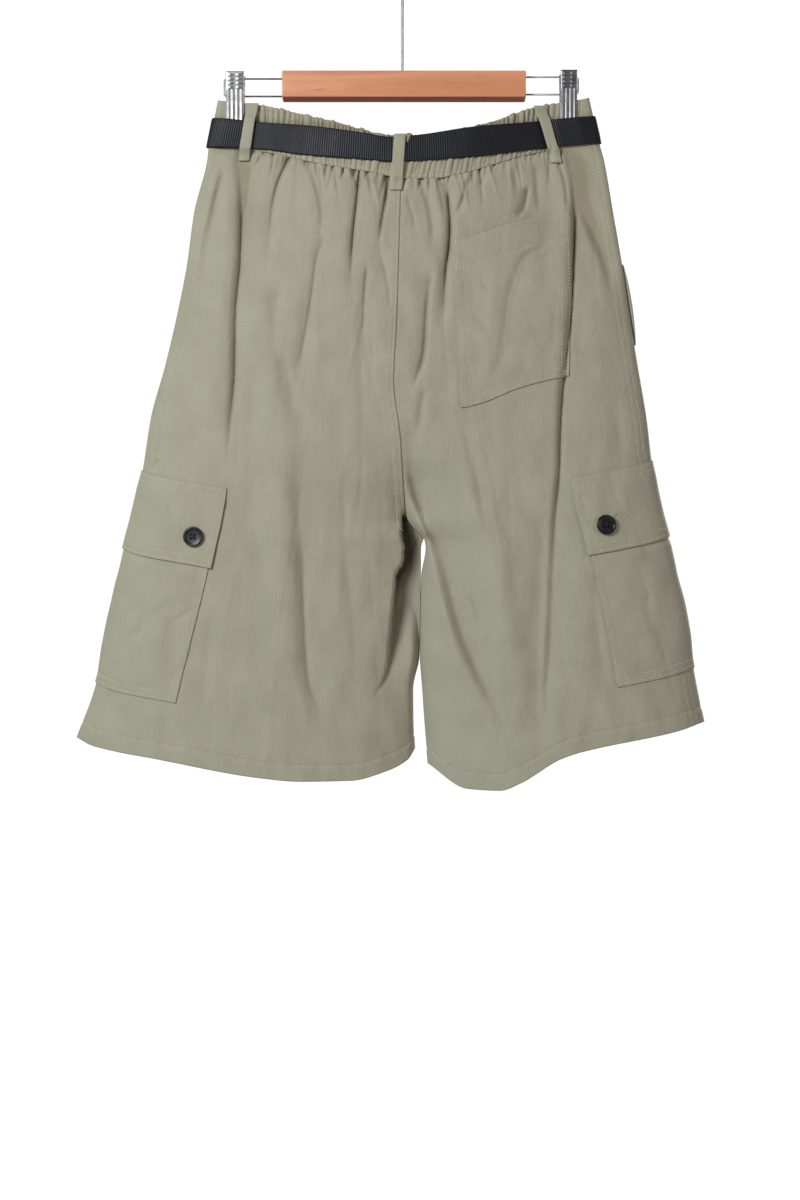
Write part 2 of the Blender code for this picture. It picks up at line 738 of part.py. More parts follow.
def make_waistband_back():
    """Elastic casing of the back: ruffled outside, plain inside."""
    shares = [*PLAIN_SHARES, *gathered_shares(), 0.995, 1.0]
    outer, inner = [], []
    for drop in BAND_DROPS:
        outer_row, inner_row = [], []
        for k, share in enumerate(shares, start=-len(PLAIN_SHARES)):
            out = band_outward(BACK, share, drop)
            place = band_place(BACK, share, drop)
            outer_row.append(place + out * ruffle(k, share, place.x))
            inside = place - out * CASING
            inside.y = min(inside.y, -GAP / 2)
            inner_row.append(inside)
        outer.append(outer_row)
        inner.append(inner_row)
    return wall_between("waistband_back", outer, inner, TWILL)


def make_waistband_front():
    """Front of the waistband, plain."""
    shares = [-s for s in END_SHARES] + [0.0] + list(reversed(END_SHARES))
    grid = [[(band_place(FRONT, s, drop), band_outward(FRONT, s, drop)) for s in shares]
            for drop in BAND_DROPS]
    inner = raised(grid, -CASING)
    for row in inner:
        for point in row:
            point.y = max(point.y, GAP / 2)
    return wall_between("waistband_front", raised(grid, 0.0), inner, TWILL)


def belt_lift(across):
    """Belt's inner side off the waistband: more over the clips' jaws."""
    middle = min(abs(across - (clip.low + clip.high) / 2) for clip in CLIPS)
    flat = (CLIPS[0].high - CLIPS[0].low) / 2 + 1.0
    return BELT_CLEAR + BELT_OVER_CLIP * (1 - smooth((middle - flat) / (CLIP_HUMP - flat)))


def make_belt():
    """Webbing belt, from one end inside the buckle right round to the other."""
    inward = BELT_SHARES[1:]
    outward_again = list(reversed(inward))
    route = [(FRONT, -BELT_BUTT), *[(FRONT, -s) for s in outward_again]]
    route += [(BACK, -1.0), *[(BACK, -s) for s in inward]]
    route += [(BACK, 0.0), *[(BACK, s) for s in outward_again], (BACK, 1.0)]
    route += [*[(FRONT, s) for s in inward], (FRONT, BELT_BUTT)]
    outer, inner = [], []
    for edge in (belt_top, belt_bottom):
        outer_row, inner_row = [], []
        for face, share in route:
            side = LEFT if share < 0 else RIGHT
            across = share * half_width[side](BELT_LEVEL)
            top = waist_top(share * half_width[side](WAIST_LEVEL))
            seam = waist_seam(share * half_width[side](SIDE_HEAD[side]))
            drop = (edge(across) - top) / (seam - top)
            place = band_place(face, share, drop)
            if abs(share) == 1.0:
                place.y = 0.0
            out = band_outward(face, share, drop) if abs(share) < 1.0 else Vector((side, 0, 0))
            lift = belt_lift(across)
            inner_row.append(place + out * lift)
            outer_row.append(place + out * (lift + BELT_THICK))
        outer.append(outer_row)
        inner.append(inner_row)
    return wall_between("belt", outer, inner, WEBBING)


def surface_at(face, across, level):
    """A point of the outside, on the waistband or the panel below it."""
    side = LEFT if across < centre_seam(level) else RIGHT
    if level < waist_seam(across):
        depth = clipped_depth(across, half_width[side](level))
    else:
        depth = cloth_depth(side, face, across, level)
    return true_place(face, across, level, depth)


def make_loop(loop):
    """A belt loop: sewn at both ends, standing over the belt between them."""
    edges = [loop.top_across + side * LOOP_WIDTH / 2 for side in (-1, 1)]
    lower = lerp(loop.top_across, loop.foot_across, LOOP_BELT_FOOT)
    edges += [lower + side * LOOP_WIDTH / 2 for side in (-1, 1)]
    over_belt = max(belt_lift(edge) for edge in edges) + BELT_THICK + 2 * GAP
    sewn_top, sewn_foot = GATHER_HEIGHT + GAP + LOOP_TOP_CLEAR, 4 * GAP

    def lean(level):
        down = (level - loop.top_level) / (loop.foot_level - loop.top_level)
        return lerp(loop.top_across, loop.foot_across, down)

    high = belt_top(lean(belt_top(loop.top_across))) - LOOP_PAST_BELT["top"]
    low = belt_bottom(lean(belt_bottom(loop.foot_across))) + LOOP_PAST_BELT["bottom"]
    stations = [
        (loop.top_level, sewn_top),
        (high, over_belt),
        (lerp(high, low, 0.5), over_belt),
        (low, over_belt),
        (lerp(low, loop.foot_level, 0.6), sewn_foot + LOOP_PAST_BELT["tuck"]),
        (loop.foot_level, sewn_foot),
    ]
    outer, inner = [], []
    for level, lift in stations:
        outer_row, inner_row = [], []
        for edge in (-0.5, 0.0, 0.5):
            across = lean(level) + edge * LOOP_WIDTH
            place = surface_at(loop.face, across, level)
            slope = surface_at(loop.face, across + 2, level) - surface_at(loop.face, across - 2, level)
            out = (slope.cross(Vector((0, 0, -1))) * loop.face).normalized()
            inner_row.append(place + out * lift)
            outer_row.append(place + out * (lift + LOOP_THICK))
        outer.append(outer_row)
        inner.append(inner_row)
    return wall_between(loop.name, outer, inner, TWILL)


def make_buckle():
    """Plain sleeve round the belt's two ends, at the centre of the front."""
    wall, half_height = BUCKLE["wall"], BUCKLE["half_height"]
    middle_level = (belt_top(0.0) + belt_bottom(0.0)) / 2
    half = half_width[RIGHT](BELT_LEVEL)
    offsets = (-1.0, -0.5, 0.0, 0.5, 1.0)
    bm = bmesh.new()
    sections = []
    for offset in offsets:
        across = offset * BUCKLE["half_width"]
        belt_inside = clipped_depth(across, half) + GAP / 2 + belt_lift(across)
        near = belt_inside - GAP
        far = belt_inside + BELT_THICK + GAP
        ring = []
        for grow in (wall, 0.0):
            low, high = near - min(grow, BELT_CLEAR - 2 * GAP), far + grow
            reach = half_height + (grow - wall)
            corners = ((low, reach), (high, reach), (high, -reach), (low, -reach))
            ring.append([bm.verts.new((across, y, -(MARK + middle_level) + z)) for y, z in corners])
        sections.append(ring)
    for here, after in zip(sections, sections[1:]):
        for skin in (0, 1):
            for k in range(4):
                n = (k + 1) % 4
                bm.faces.new((here[skin][k], here[skin][n], after[skin][n], after[skin][k]))
    for ring in (sections[0], sections[-1]):
        for k in range(4):
            n = (k + 1) % 4
            bm.faces.new((ring[0][k], ring[0][n], ring[1][n], ring[1][k]))
    bmesh.ops.triangulate(bm, faces=bm.faces)
    return mesh_object("belt_buckle", bm, NICKEL)


# ---------------------------------------------------------------- buttons

class ButtonPlace(NamedTuple):
    """A flap button: its side and face, and where it lies on the flap."""
    name: str
    side: int
    face: int
    t: float
    v: float


BUTTONS = [
    ButtonPlace("button_left_back", LEFT, BACK, 0.775, 0.636),
    ButtonPlace("button_left_front", LEFT, FRONT, 0.775, 0.636),
    ButtonPlace("button_right_back", RIGHT, BACK, 0.769, 0.637),
    ButtonPlace("button_right_front", RIGHT, FRONT, 0.769, 0.637),
]


def turned(bm, profile, sides):
    """Closed body turned round Z from (radius, height) points, the first and last on the axis."""
    rings = []
    for radius, height in profile:
        if radius == 0:
            rings.append([bm.verts.new((0, 0, height))])
        else:
            rings.append([
                bm.verts.new((radius * math.cos(2 * math.pi * k / sides),
                              radius * math.sin(2 * math.pi * k / sides), height))
                for k in range(sides)
            ])
    for low, high in zip(rings, rings[1:]):
        for k in range(sides):
            n = (k + 1) % sides
            corners = [low[k % len(low)], low[n % len(low)], high[n % len(high)], high[k % len(high)]]
            unique = [c for i, c in enumerate(corners) if c not in corners[:i]]
            bm.faces.new(unique)


def button_mesh():
    """Four-hole button with a raised rim, its back at Z = 0, in metres."""
    b = BUTTON
    dish = b["thick"] - b["dish"]
    profile = [
        (0, 0), (b["radius"] * BUTTON_BACK, 0), (b["radius"], b["thick"] * BUTTON_BULGE),
        (b["radius"] - b["rim"] / 4, b["thick"]), (b["radius"] - b["rim"], b["thick"]),
        (b["radius"] - b["rim"] * 1.5, dish), (0, dish),
    ]
    bm = bmesh.new()
    turned(bm, profile, BUTTON_SIDES)
    body = mesh_object("button_blank", bm, HORN)
    bm = bmesh.new()
    for x in (-1, 1):
        for y in (-1, 1):
            ring = bmesh.ops.create_cone(bm, cap_ends=True, segments=6, radius1=b["hole_radius"],
                                         radius2=b["hole_radius"], depth=b["thick"] * 3)
            bmesh.ops.translate(bm, vec=(x * b["hole_pitch"], y * b["hole_pitch"], 0), verts=ring["verts"])
    drill = mesh_object("button_drill", bm, HORN)
    cut = body.modifiers.new("holes", "BOOLEAN")
    cut.object = drill
    cut.operation = "DIFFERENCE"
    bpy.context.view_layer.update()
    mesh = bpy.data.meshes.new_from_object(body.evaluated_get(bpy.context.evaluated_depsgraph_get()))
    bpy.data.objects.remove(body)
    bpy.data.objects.remove(drill)
    return mesh


def make_buttons():
    """All flap buttons, flat against the flaps."""
    mesh = button_mesh()
    lift = 3 * GAP + 2 * CLOTH + BUTTON_CLEAR
    for place in BUTTONS:
        def point_at(t, v, side=place.side, face=place.face):
            return cloth_point(side, face, t, v)

        out = outward(point_at, place.t, place.v, place.side * place.face, BUTTON_SPREAD)
        thing = bpy.data.objects.new(place.name, mesh)
        bpy.context.scene.collection.objects.link(thing)
        thing.rotation_mode = "QUATERNION"
        thing.rotation_quaternion = out.to_track_quat("Z", "Y")
        thing.location = (point_at(place.t, place.v) + out * lift) * 0.001


# ---------------------------------------------------------------- hanger

def tube(name, points, radius, paint, sides_step=2):
    """Round wire along points in millimetres."""
    curve = bpy.data.curves.new(name, "CURVE")
    curve.dimensions = "3D"
    curve.bevel_depth = radius * 0.001
    curve.bevel_resolution = sides_step
    curve.use_fill_caps = True
    line = curve.splines.new("POLY")
    line.points.add(len(points) - 1)
    for knot, point in zip(line.points, points):
        knot.co = (*(Vector(point) * 0.001), 1.0)
    return add_object(name, curve, paint)


def arc(centre_x, centre_z, radius, start, end, steps):
    """Points of an arc in the XZ plane, by degrees from +X."""
    angles = [math.radians(lerp(start, end, k / steps)) for k in range(steps + 1)]
    return [(centre_x + radius * math.cos(a), 0.0, centre_z + radius * math.sin(a)) for a in angles]


def make_hook():
    """Hook: an upright shank in the bar, a swan neck and a round bend over the rail."""
    top_z = -HOOK_BEND + HOOK_WIRE
    shank_foot = -(MARK + BAR["top"] + SOCKET - 1.0)
    neck = [(0, 0, shank_foot)] + [(across, 0, -(MARK + level)) for across, level in HOOK_NECK]
    bend = arc(0, top_z, HOOK_BEND, *HOOK_ARC, 24)
    return tube("hanger_hook", neck + bend, HOOK_WIRE, NICKEL)


def make_bar():
    """Wooden bar with holes for the hook and the wires."""
    width, height = BAR["high"] - BAR["low"], BAR["bottom"] - BAR["top"]
    middle = Vector(((BAR["low"] + BAR["high"]) / 2, 0, -(MARK + (BAR["top"] + BAR["bottom"]) / 2)))
    bm = bmesh.new()
    bmesh.ops.create_cube(bm, size=1.0)
    bmesh.ops.scale(bm, vec=(width, BAR["depth"], height), verts=bm.verts)
    bmesh.ops.bevel(bm, geom=bm.edges, offset=BAR["edge"], segments=3, profile=0.5, affect="EDGES")
    bmesh.ops.translate(bm, vec=middle, verts=bm.verts)
    bar = mesh_object("hanger_bar", bm, WOOD)

    bm = bmesh.new()
    spots = []
    for clip in CLIPS:
        end = BAR["low"] if clip.side == LEFT else BAR["high"]
        for level in (clip.wire_top, clip.wire_bottom):
            spots.append((Vector((end, 0, -(MARK + level))), "Y", WIRE + GAP))
    spots.append((Vector((0, 0, -(MARK + BAR["top"]))), "Z", HOOK_WIRE + GAP))
    for spot, axis, radius in spots:
        drill = bmesh.ops.create_cone(bm, cap_ends=True, segments=10, radius1=radius, radius2=radius,
                                      depth=SOCKET * 2)
        if axis == "Y":
            for vert in drill["verts"]:
                vert.co = Vector((vert.co.z, vert.co.y, -vert.co.x))
        bmesh.ops.translate(bm, vec=spot, verts=drill["verts"])
    holes = mesh_object("hanger_bar_holes", bm, WOOD)
    holes.hide_render = True
    holes.display_type = "WIRE"
    cut = bar.modifiers.new("holes", "BOOLEAN")
    cut.object = holes
    cut.operation = "DIFFERENCE"
    return bar


def make_wire(clip):
    """Wire frame that carries a clip: two legs out of the bar and a square bend."""
    start = (BAR["low"] + SOCKET - 1) if clip.side == LEFT else (BAR["high"] - SOCKET + 1)
    far = clip.side * (clip.wire_end - WIRE)
    top, bottom = -(MARK + clip.wire_top), -(MARK + clip.wire_bottom)
    corner_x = far - clip.side * WIRE_CORNER
    upper = arc(corner_x, top - WIRE_CORNER, WIRE_CORNER, 90, 90 - clip.side * 90, 4)
    lower = arc(corner_x, bottom + WIRE_CORNER, WIRE_CORNER, 90 - clip.side * 90, 90 - clip.side * 180, 4)
    points = [(start, 0, top), *upper, *lower, (start, 0, bottom)]
    return tube(f"hanger_wire_{clip.name}", points, WIRE, NICKEL)


def jaw_depth(level):
    """Depth of a jaw's inner side: apart at the top, on the waistband at its tip."""
    shut = PINCH_DEPTH + GAP / 2 + GAP
    return lerp(shut, JAW_OPEN, max(0.0, (JAW_BITE - level) / (JAW_BITE - CLIPS[0].top)))


def make_jaw(clip, face):
    """A jaw: sheet steel with four upright ribs outside."""
    word = "back" if face == BACK else "front"
    columns = 2 * JAW_RIBS
    outer, inner = [], []
    for level in (clip.top, *JAW_LEVELS, JAW_FOOT):
        outer_row, inner_row = [], []
        for k in range(columns + 1):
            across = lerp(clip.low, clip.high, k / columns)
            rib = JAW_RIB if k % 2 == 1 and level > JAW_RIBS_FROM else 0.0
            depth = jaw_depth(level)
            inner_row.append(Vector((across, face * depth, -(MARK + level))))
            outer_row.append(Vector((across, face * (depth + JAW_THICK + rib), -(MARK + level))))
        outer.append(outer_row)
        inner.append(inner_row)
    return wall_between(f"clip_{clip.name}_jaw_{word}", outer, inner, NICKEL)


def make_core(clip):
    """Spring block between a clip's jaws, inside the wire frame."""
    levels = (clip.wire_top + WIRE + GAP, clip.wire_bottom - WIRE - GAP)
    outer, inner = [], []
    for level in levels:
        depth = jaw_depth(level) - GAP
        row = [Vector((x, -depth, -(MARK + level))) for x in (clip.low + CORE_INSET, clip.high - CORE_INSET)]
        outer.append(row)
        inner.append([Vector((p.x, depth, p.z)) for p in row])
    return wall_between(f"clip_{clip.name}_core", outer, inner, NICKEL)


# ---------------------------------------------------------------- the whole part

def main():
    """Build every piece."""
    for thing in list(bpy.data.objects):
        bpy.data.objects.remove(thing)
    for side, word in ((LEFT, "left"), (RIGHT, "right")):
        make_panel(f"back_{word}", side, BACK)
        make_panel(f"front_{word}", side, FRONT)
        make_cargo_pocket(f"cargo_pocket_{word}", side)
        make_cargo_flap(f"cargo_flap_{word}", side)
        make_slash_pocket(f"slash_pocket_{word}", side, SLASH_GAPE[side])
    make_rear_pocket()
    make_waistband_back()
    make_waistband_front()
    make_belt()
    make_buckle()
    for loop in LOOPS:
        make_loop(loop)
    make_buttons()
    make_bar()
    make_hook()
    for clip in CLIPS:
        make_wire(clip)
        make_core(clip)
        make_jaw(clip, BACK)
        make_jaw(clip, FRONT)


main()
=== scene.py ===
"""Looks of a pair of cargo shorts hung by their waistband from a wooden clip hanger.

Lengths are millimetres until a mesh is made; meshes are in metres.
X runs to the wearer's right, Y from the back of the shorts to their front, Z up.
"across" is a place along X. "level" is a drop below a mark 60 mm under the origin.
"depth" is how far a surface stands out from the plane of the side seams, Y = 0.
A strip of cloth is a grid of points in rows, from its top down, and columns.
A place on one half is (t, v): t from the centre to the side seam, v from the waist seam to the hem.
"""

import logging
import math
from dataclasses import dataclass
from enum import Enum, IntEnum
from typing import Callable, NamedTuple, Sequence

import bmesh
import bpy
import numpy as np
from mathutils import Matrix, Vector


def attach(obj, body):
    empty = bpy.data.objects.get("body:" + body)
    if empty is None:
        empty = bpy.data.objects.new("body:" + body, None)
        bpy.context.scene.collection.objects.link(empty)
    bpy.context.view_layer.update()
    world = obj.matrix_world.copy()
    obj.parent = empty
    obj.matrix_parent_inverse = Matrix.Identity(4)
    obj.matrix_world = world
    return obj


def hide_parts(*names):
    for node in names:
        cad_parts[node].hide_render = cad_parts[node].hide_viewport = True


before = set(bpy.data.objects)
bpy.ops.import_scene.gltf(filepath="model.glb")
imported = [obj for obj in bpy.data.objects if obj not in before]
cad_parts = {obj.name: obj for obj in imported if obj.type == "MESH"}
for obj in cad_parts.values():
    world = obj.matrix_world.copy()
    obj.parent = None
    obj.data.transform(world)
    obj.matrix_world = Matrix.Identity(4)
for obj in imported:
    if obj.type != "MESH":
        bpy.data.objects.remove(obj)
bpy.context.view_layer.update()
LOG = logging.getLogger("shorts")

Grid = np.ndarray
Number = float | Grid
Curve = Callable[[Number], Grid]
Thing = bpy.types.Object
Socket = bpy.types.NodeSocket

MARK = 60.0            # drop from the origin to level 0
GAP = 0.3              # between pieces that touch
MILLIMETRE = 0.001
DOWN = np.array([0.0, 0.0, -1.0])


class Named(IntEnum):
    """A choice that is part of the names of pieces."""

    @property
    def word(self) -> str:
        """Its name in small letters."""
        return self.name.lower()


class Side(Named):
    """The wearer's sides, along X."""
    LEFT = -1
    RIGHT = 1


class Face(Named):
    """Faces of the garment, along Y."""
    BACK = -1
    FRONT = 1


# ---- arithmetic on arrays

def lerp(a: Number, b: Number, share: Number) -> Number:
    """Mix two values."""
    return a + (b - a) * share


def smooth(share: Number) -> Grid:
    """Ease from 0 to 1."""
    s = np.clip(share, 0.0, 1.0)
    return s * s * (3 - 2 * s)


def bump(distance: Number, reach: float) -> Grid:
    """A round hump, 1 at distance 0 and almost 0 at twice its reach."""
    return np.exp(-(np.asarray(distance) / reach) ** 2)


def curve_through(pairs: Sequence[tuple]) -> Curve:
    """A smooth curve through points, level past its ends.

    Args:
        pairs: (x, y) points, x rising.

    Returns:
        A function of x that never swings past its points.
    """
    xs, ys = np.array(pairs, float).T
    spans = np.diff(xs)
    rises = np.diff(ys) / spans
    product = rises[:-1] * rises[1:]
    total = np.where(product > 0, rises[:-1] + rises[1:], 1.0)
    inner = np.where(product > 0, 2 * product / total, 0.0)
    slopes = np.concatenate([rises[:1], inner, rises[-1:]])

    def read(x: Number) -> Grid:
        """Read the curve.

        Args:
            x: Where.

        Returns:
            Its y there.
        """
        x = np.clip(x, xs[0], xs[-1])
        i = np.clip(np.searchsorted(xs, x, side="right") - 1, 0, len(spans) - 1)
        s = (x - xs[i]) / spans[i]
        blend = s * s * (3 - 2 * s)
        bend = spans[i] * s * (1 - s) * (slopes[i] * (1 - s) - slopes[i + 1] * s)
        return ys[i] * (1 - blend) + ys[i + 1] * blend + bend

    return read


def spaced(length: Number, near: Sequence[float], far: Sequence[float], pitch: float) -> Grid:
    """Shares across a strip: fixed distances from both ends, and even steps between.

    Args:
        length: The strip's length, one number or one for each row.
        near: Rising distances from its start.
        far: Rising distances from its end.
        pitch: About how long the even steps are.

    Returns:
        Shares from 0 to 1, in rows and columns.
    """
    rows = np.atleast_1d(np.asarray(length, float))[:, None]
    count = max(2, round((rows.mean() - near[-1] - far[-1]) / pitch))
    start = np.array(near)[None, :] / rows
    end = 1 - np.array(far)[::-1][None, :] / rows
    steps = np.linspace(0, 1, count + 1)[1:-1]
    return np.hstack([start, lerp(start[:, -1:], end[:, :1], steps), end])


def unit(vectors: Grid) -> Grid:
    """Vectors of length 1."""
    return vectors / np.maximum(np.linalg.norm(vectors, axis=-1, keepdims=True), 1e-9)


def softened(grid: Grid, times: int) -> Grid:
    """A grid of vectors, each averaged with its neighbours.

    Args:
        grid: Vectors in rows and columns.
        times: How often to average.

    Returns:
        The averaged grid.
    """
    for _ in range(times):
        padded = np.pad(grid, ((1, 1), (1, 1), (0, 0)), mode="edge")
        grid = (padded[:-2, 1:-1] + padded[2:, 1:-1] + padded[1:-1, :-2] + padded[1:-1, 2:]
                + 2 * padded[1:-1, 1:-1]) / 6
    return grid


def directions(points: Grid, sign: int, blur: int = 2) -> Grid:
    """Unit directions out of a grid; sign is 1 where rows cross columns toward the outside, else -1."""
    across = np.cross(np.gradient(points, axis=1), np.gradient(points, axis=0))
    return unit(softened(unit(across) * sign, blur))


def painted_crease_shade(points: Grid, outs: Grid) -> Grid:
    """Painted shade in the cloth's creases: how deep it lies under what is round it, near by and more widely.

    Args:
        points: A grid of its outer points.
        outs: Directions out of it.

    Returns:
        A share of painted shade from 0 to 0.5 for each point.
    """
    near = np.sum((softened(points, 5) - points) * outs, axis=-1)
    wide = np.sum((softened(points, 60) - points) * outs, axis=-1)
    return 0.30 * np.clip(near / 0.65 - 0.16, 0.0, 1.0) + 0.22 * np.clip((wide - 0.6) / 3.0, 0.0, 1.0)


# ---- tables of the garment

class Outline(NamedTuple):
    """Half width of each side of the body at a level."""
    level: float
    left: float
    right: float


class Fullness(NamedTuple):
    """Depth of the back and of the front at a level."""
    level: float
    back: float
    front: float


SLOW_RISE = 1.5        # edge of the wider side of a fold


class Fold(NamedTuple):
    """A trough pressed into the cloth, or a ridge where its depth is negative."""
    depth: float
    left: float        # its reach to the left of its line
    right: float       # and to the right
    edge: float        # 2 is round at the bottom, 1 is a sharp line
    fade_in: float     # it deepens over this length
    fade_out: float
    path: tuple        # (across, level) down its line
    only: int = 0      # the side it stays on, where it is on one half alone

    def press(self, across: Grid, level: Grid) -> Grid:
        """How far it presses the cloth in, steeply on its narrow side and slowly on the other.

        Args:
            across: Places across.
            level: And their levels.

        Returns:
            One depth for each place.
        """
        off = across - curve_through([place[::-1] for place in self.path])(level)
        start, end = self.path[0][1], self.path[-1][1]
        ends = smooth((level - start) / self.fade_in) * smooth((end - level) / self.fade_out)
        left_edge = self.edge if self.left <= self.right else min(self.edge, SLOW_RISE)
        right_edge = self.edge if self.right <= self.left else min(self.edge, SLOW_RISE)
        reach = np.where(off < 0, self.left, self.right)
        section = np.exp(-np.abs(off / reach) ** np.where(off < 0, left_edge, right_edge))
        return self.depth * ends * section


def pressed(folds: Sequence[Fold], across: Grid, level: Grid, side: int = 0) -> Grid:
    """How far folds press the cloth in.

    Args:
        folds: The folds.
        across: Places across.
        level: And their levels.
        side: The half that the places are on.

    Returns:
        One depth for each place.
    """
    total = np.zeros(np.broadcast(across, level).shape)
    for fold in folds:
        if fold.only in (0, side):
            total += fold.press(across, level)
    return total


OUTLINE = (
    Outline(100, 184.5, 186.5), Outline(146, 193.7, 197.6), Outline(160, 195.3, 201.5),
    Outline(213, 208.5, 210.8), Outline(264, 215.5, 219.6), Outline(315, 225.5, 227.3),
    Outline(366, 237.5, 235.4), Outline(417, 251.5, 244.0), Outline(474, 260.5, 251.0),
    Outline(547, 277.3, 267.0), Outline(600, 289.0, 279.3), Outline(684, 306.6, 294.0),
    Outline(737, 325.5, 305.0),
)
CENTRE_SEAM = ((178, -1.7), (330, -6.5), (380, -9.0), (436, -2.5), (492, 1.0), (517, 3.5), (538, 21.5))
INSEAM = {
    Side.LEFT: ((538, 21.5), (547, 18.6), (577, 18.3), (655, 17.1), (689, 10.8), (717, 11.0), (765, 13.5)),
    Side.RIGHT: ((538, 21.5), (547, 23.2), (577, 18.6), (655, 17.4), (689, 19.6), (717, 21.5), (765, 25.5)),
}
WAIST_SEAM = ((-194, 146.5), (-140, 152), (-87.5, 163), (-26.5, 173), (1.5, 178.5), (30.5, 178.5),
              (62.5, 173), (89.5, 165), (130, 154), (198, 143.5))
WAIST_TOP = ((-184.5, 100), (-143.5, 104), (-111.5, 111), (-68.5, 120.5), (-40.5, 128.5), (-17.5, 133.8),
             (5, 134.5), (40, 132), (85.5, 122), (131.5, 107), (186.5, 97.5))
HEM = {
    Side.LEFT: ((-325.5, 737), (-310.5, 745), (-243.5, 759), (-142.5, 777.5), (-102.5, 781), (-50.5, 780),
                (-16.5, 771), (6.5, 759), (13.5, 748)),
    Side.RIGHT: ((25.5, 763), (64.5, 788), (97.5, 790), (117.5, 783), (157.5, 759), (177.5, 752),
                 (277.5, 730), (301.5, 721)),
}
FULLNESS = (Fullness(100, 23, 20), Fullness(250, 30, 26), Fullness(400, 34, 30), Fullness(538, 36, 33),
            Fullness(790, 45, 40))
PINCH = ((0, 23.0), (60, 21.0), (105, 14.5), (130, 8.0), (143, 4.8), (150, 3.7), (220, 3.7))

# the main folds of the back, from the left side to the right
BACK_FOLDS = (
    Fold(-3.2, 8, 5, 1.8, 25, 90, ((-183, 163), (-197, 226), (-206, 277), (-221, 340))),
    Fold(2.6, 5, 12, 1.9, 25, 90, ((-175.5, 158), (-190.5, 215), (-200.5, 255), (-210.5, 300),
         (-225.5, 340), (-237.5, 400))),
    Fold(-2.6, 11, 9, 2.0, 8, 130, ((-176.5, 150), (-175.5, 200), (-177, 262), (-182, 315), (-184, 370),
         (-189, 430))),
    Fold(4.3, 5.0, 15, 2.2, 6, 90, ((-161, 147), (-160, 200), (-162, 262), (-167, 315), (-167.5, 370),
         (-172.5, 430), (-175.5, 475))),
    Fold(3.0, 12, 4, 2.0, 8, 60, ((-112, 154), (-126.8, 186), (-132.5, 214), (-135.5, 260), (-136, 300))),
    Fold(2.8, 8, 12, 1.8, 30, 60, ((-124, 268), (-126, 300), (-127.5, 340), (-120.5, 370), (-112.5, 415),
         (-108, 440))),
    Fold(2.2, 2.5, 9, 2.0, 5, 40, ((-97, 158), (-90, 175), (-84, 195), (-81, 215), (-82, 250))),
    Fold(2.6, 7, 13, 1.9, 20, 80, ((-80, 234), (-85, 250), (-89.5, 290), (-94, 320), (-100, 350),
         (-105, 370), (-107, 400), (-103, 430))),
    Fold(4.0, 7, 20, 2.0, 120, 60, ((-104, 430), (-103, 500), (-101, 560), (-98, 640), (-93, 695),
         (-73, 735))),
    Fold(-3.4, 18, 18, 1.9, 80, 120, ((-128, 300), (-124, 450), (-120, 600), (-114, 720))),
    Fold(2.6, 5, 9, 2.0, 4, 60, ((-43.5, 168), (-46, 200), (-49, 230), (-51.5, 262), (-52.5, 300))),
    Fold(2.2, 6, 9, 1.9, 20, 80, ((-36, 256), (-38, 290), (-40.5, 330), (-41, 370), (-36, 445))),
    Fold(3.3, 13, 1.8, 2.2, 5, 40, ((-12.5, 171), (-17, 200), (-21.5, 227), (-23.5, 243), (-18, 275),
         (-12.5, 305))),
    Fold(22.0, 1.6, 26, 2.6, 8, 110, ((0.5, 512), (1, 535.7), (3.2, 545.5), (2, 561.6), (-5.3, 576),
         (-7, 594), (-9, 612), (-11.5, 639), (-15.5, 672), (-35, 706)), Side.LEFT),
    Fold(2.2, 7, 8, 1.9, 30, 30, ((8, 412), (10, 450), (13, 490), (24, 532)), Side.RIGHT),
    Fold(-4.0, 7, 5, 1.8, 50, 60, ((8, 600), (10, 650), (6, 690), (10, 748))),
    Fold(2.8, 3, 7, 2.0, 6, 25, ((15.5, 179), (24, 197.5), (29.5, 228), (30.5, 250))),
    Fold(3.2, 5, 7, 2.0, 5, 50, ((41.5, 180), (44.5, 204.5), (47.5, 228), (46.5, 246), (42.5, 273),
         (40.5, 312), (39.5, 340))),
    Fold(3.6, 8, 3, 2.0, 20, 35, ((29.5, 265), (25.5, 291), (23.3, 333), (21, 354), (6.5, 396))),
    Fold(4.0, 5, 2.2, 2.2, 8, 8, ((125.5, 184), (121.5, 206), (112.5, 219))),
    Fold(-2.0, 12, 7, 2.0, 8, 200, ((159, 150), (162, 186), (162, 214), (160, 270), (157, 326), (152, 368),
         (148, 419), (146, 480))),
    Fold(4.6, 4.0, 18, 2.2, 6, 120, ((164.5, 148), (170, 166.6), (172, 186), (172.8, 214), (171, 270),
         (167.5, 326), (163, 368), (159, 419), (157.5, 470), (153, 520), (149.5, 595), (147.5, 645),
         (144.5, 695), (144.5, 760))),
    Fold(3.2, 4, 12, 2.0, 10, 60, ((173, 152), (178, 195), (188, 230), (203, 265), (213, 308))),
    Fold(5.6, 5, 14, 2.0, 30, 90, ((5, 455), (14, 497), (28.5, 534), (40, 562.5), (45.5, 584.8),
         (53.5, 616), (61, 641), (79.5, 685), (97.5, 720), (113, 750))),
    Fold(-3.6, 7, 6, 1.8, 30, 60, ((7, 490), (21, 534), (35.5, 588), (50, 640), (64, 690))),
    Fold(-5.0, 15, 15, 2.0, 60, 60, ((66, 470), (100, 600), (124, 720))),
    Fold(4.4, 18, 10, 1.9, 60, 60, ((138, 500), (136, 600), (134, 700), (138, 775))),
)

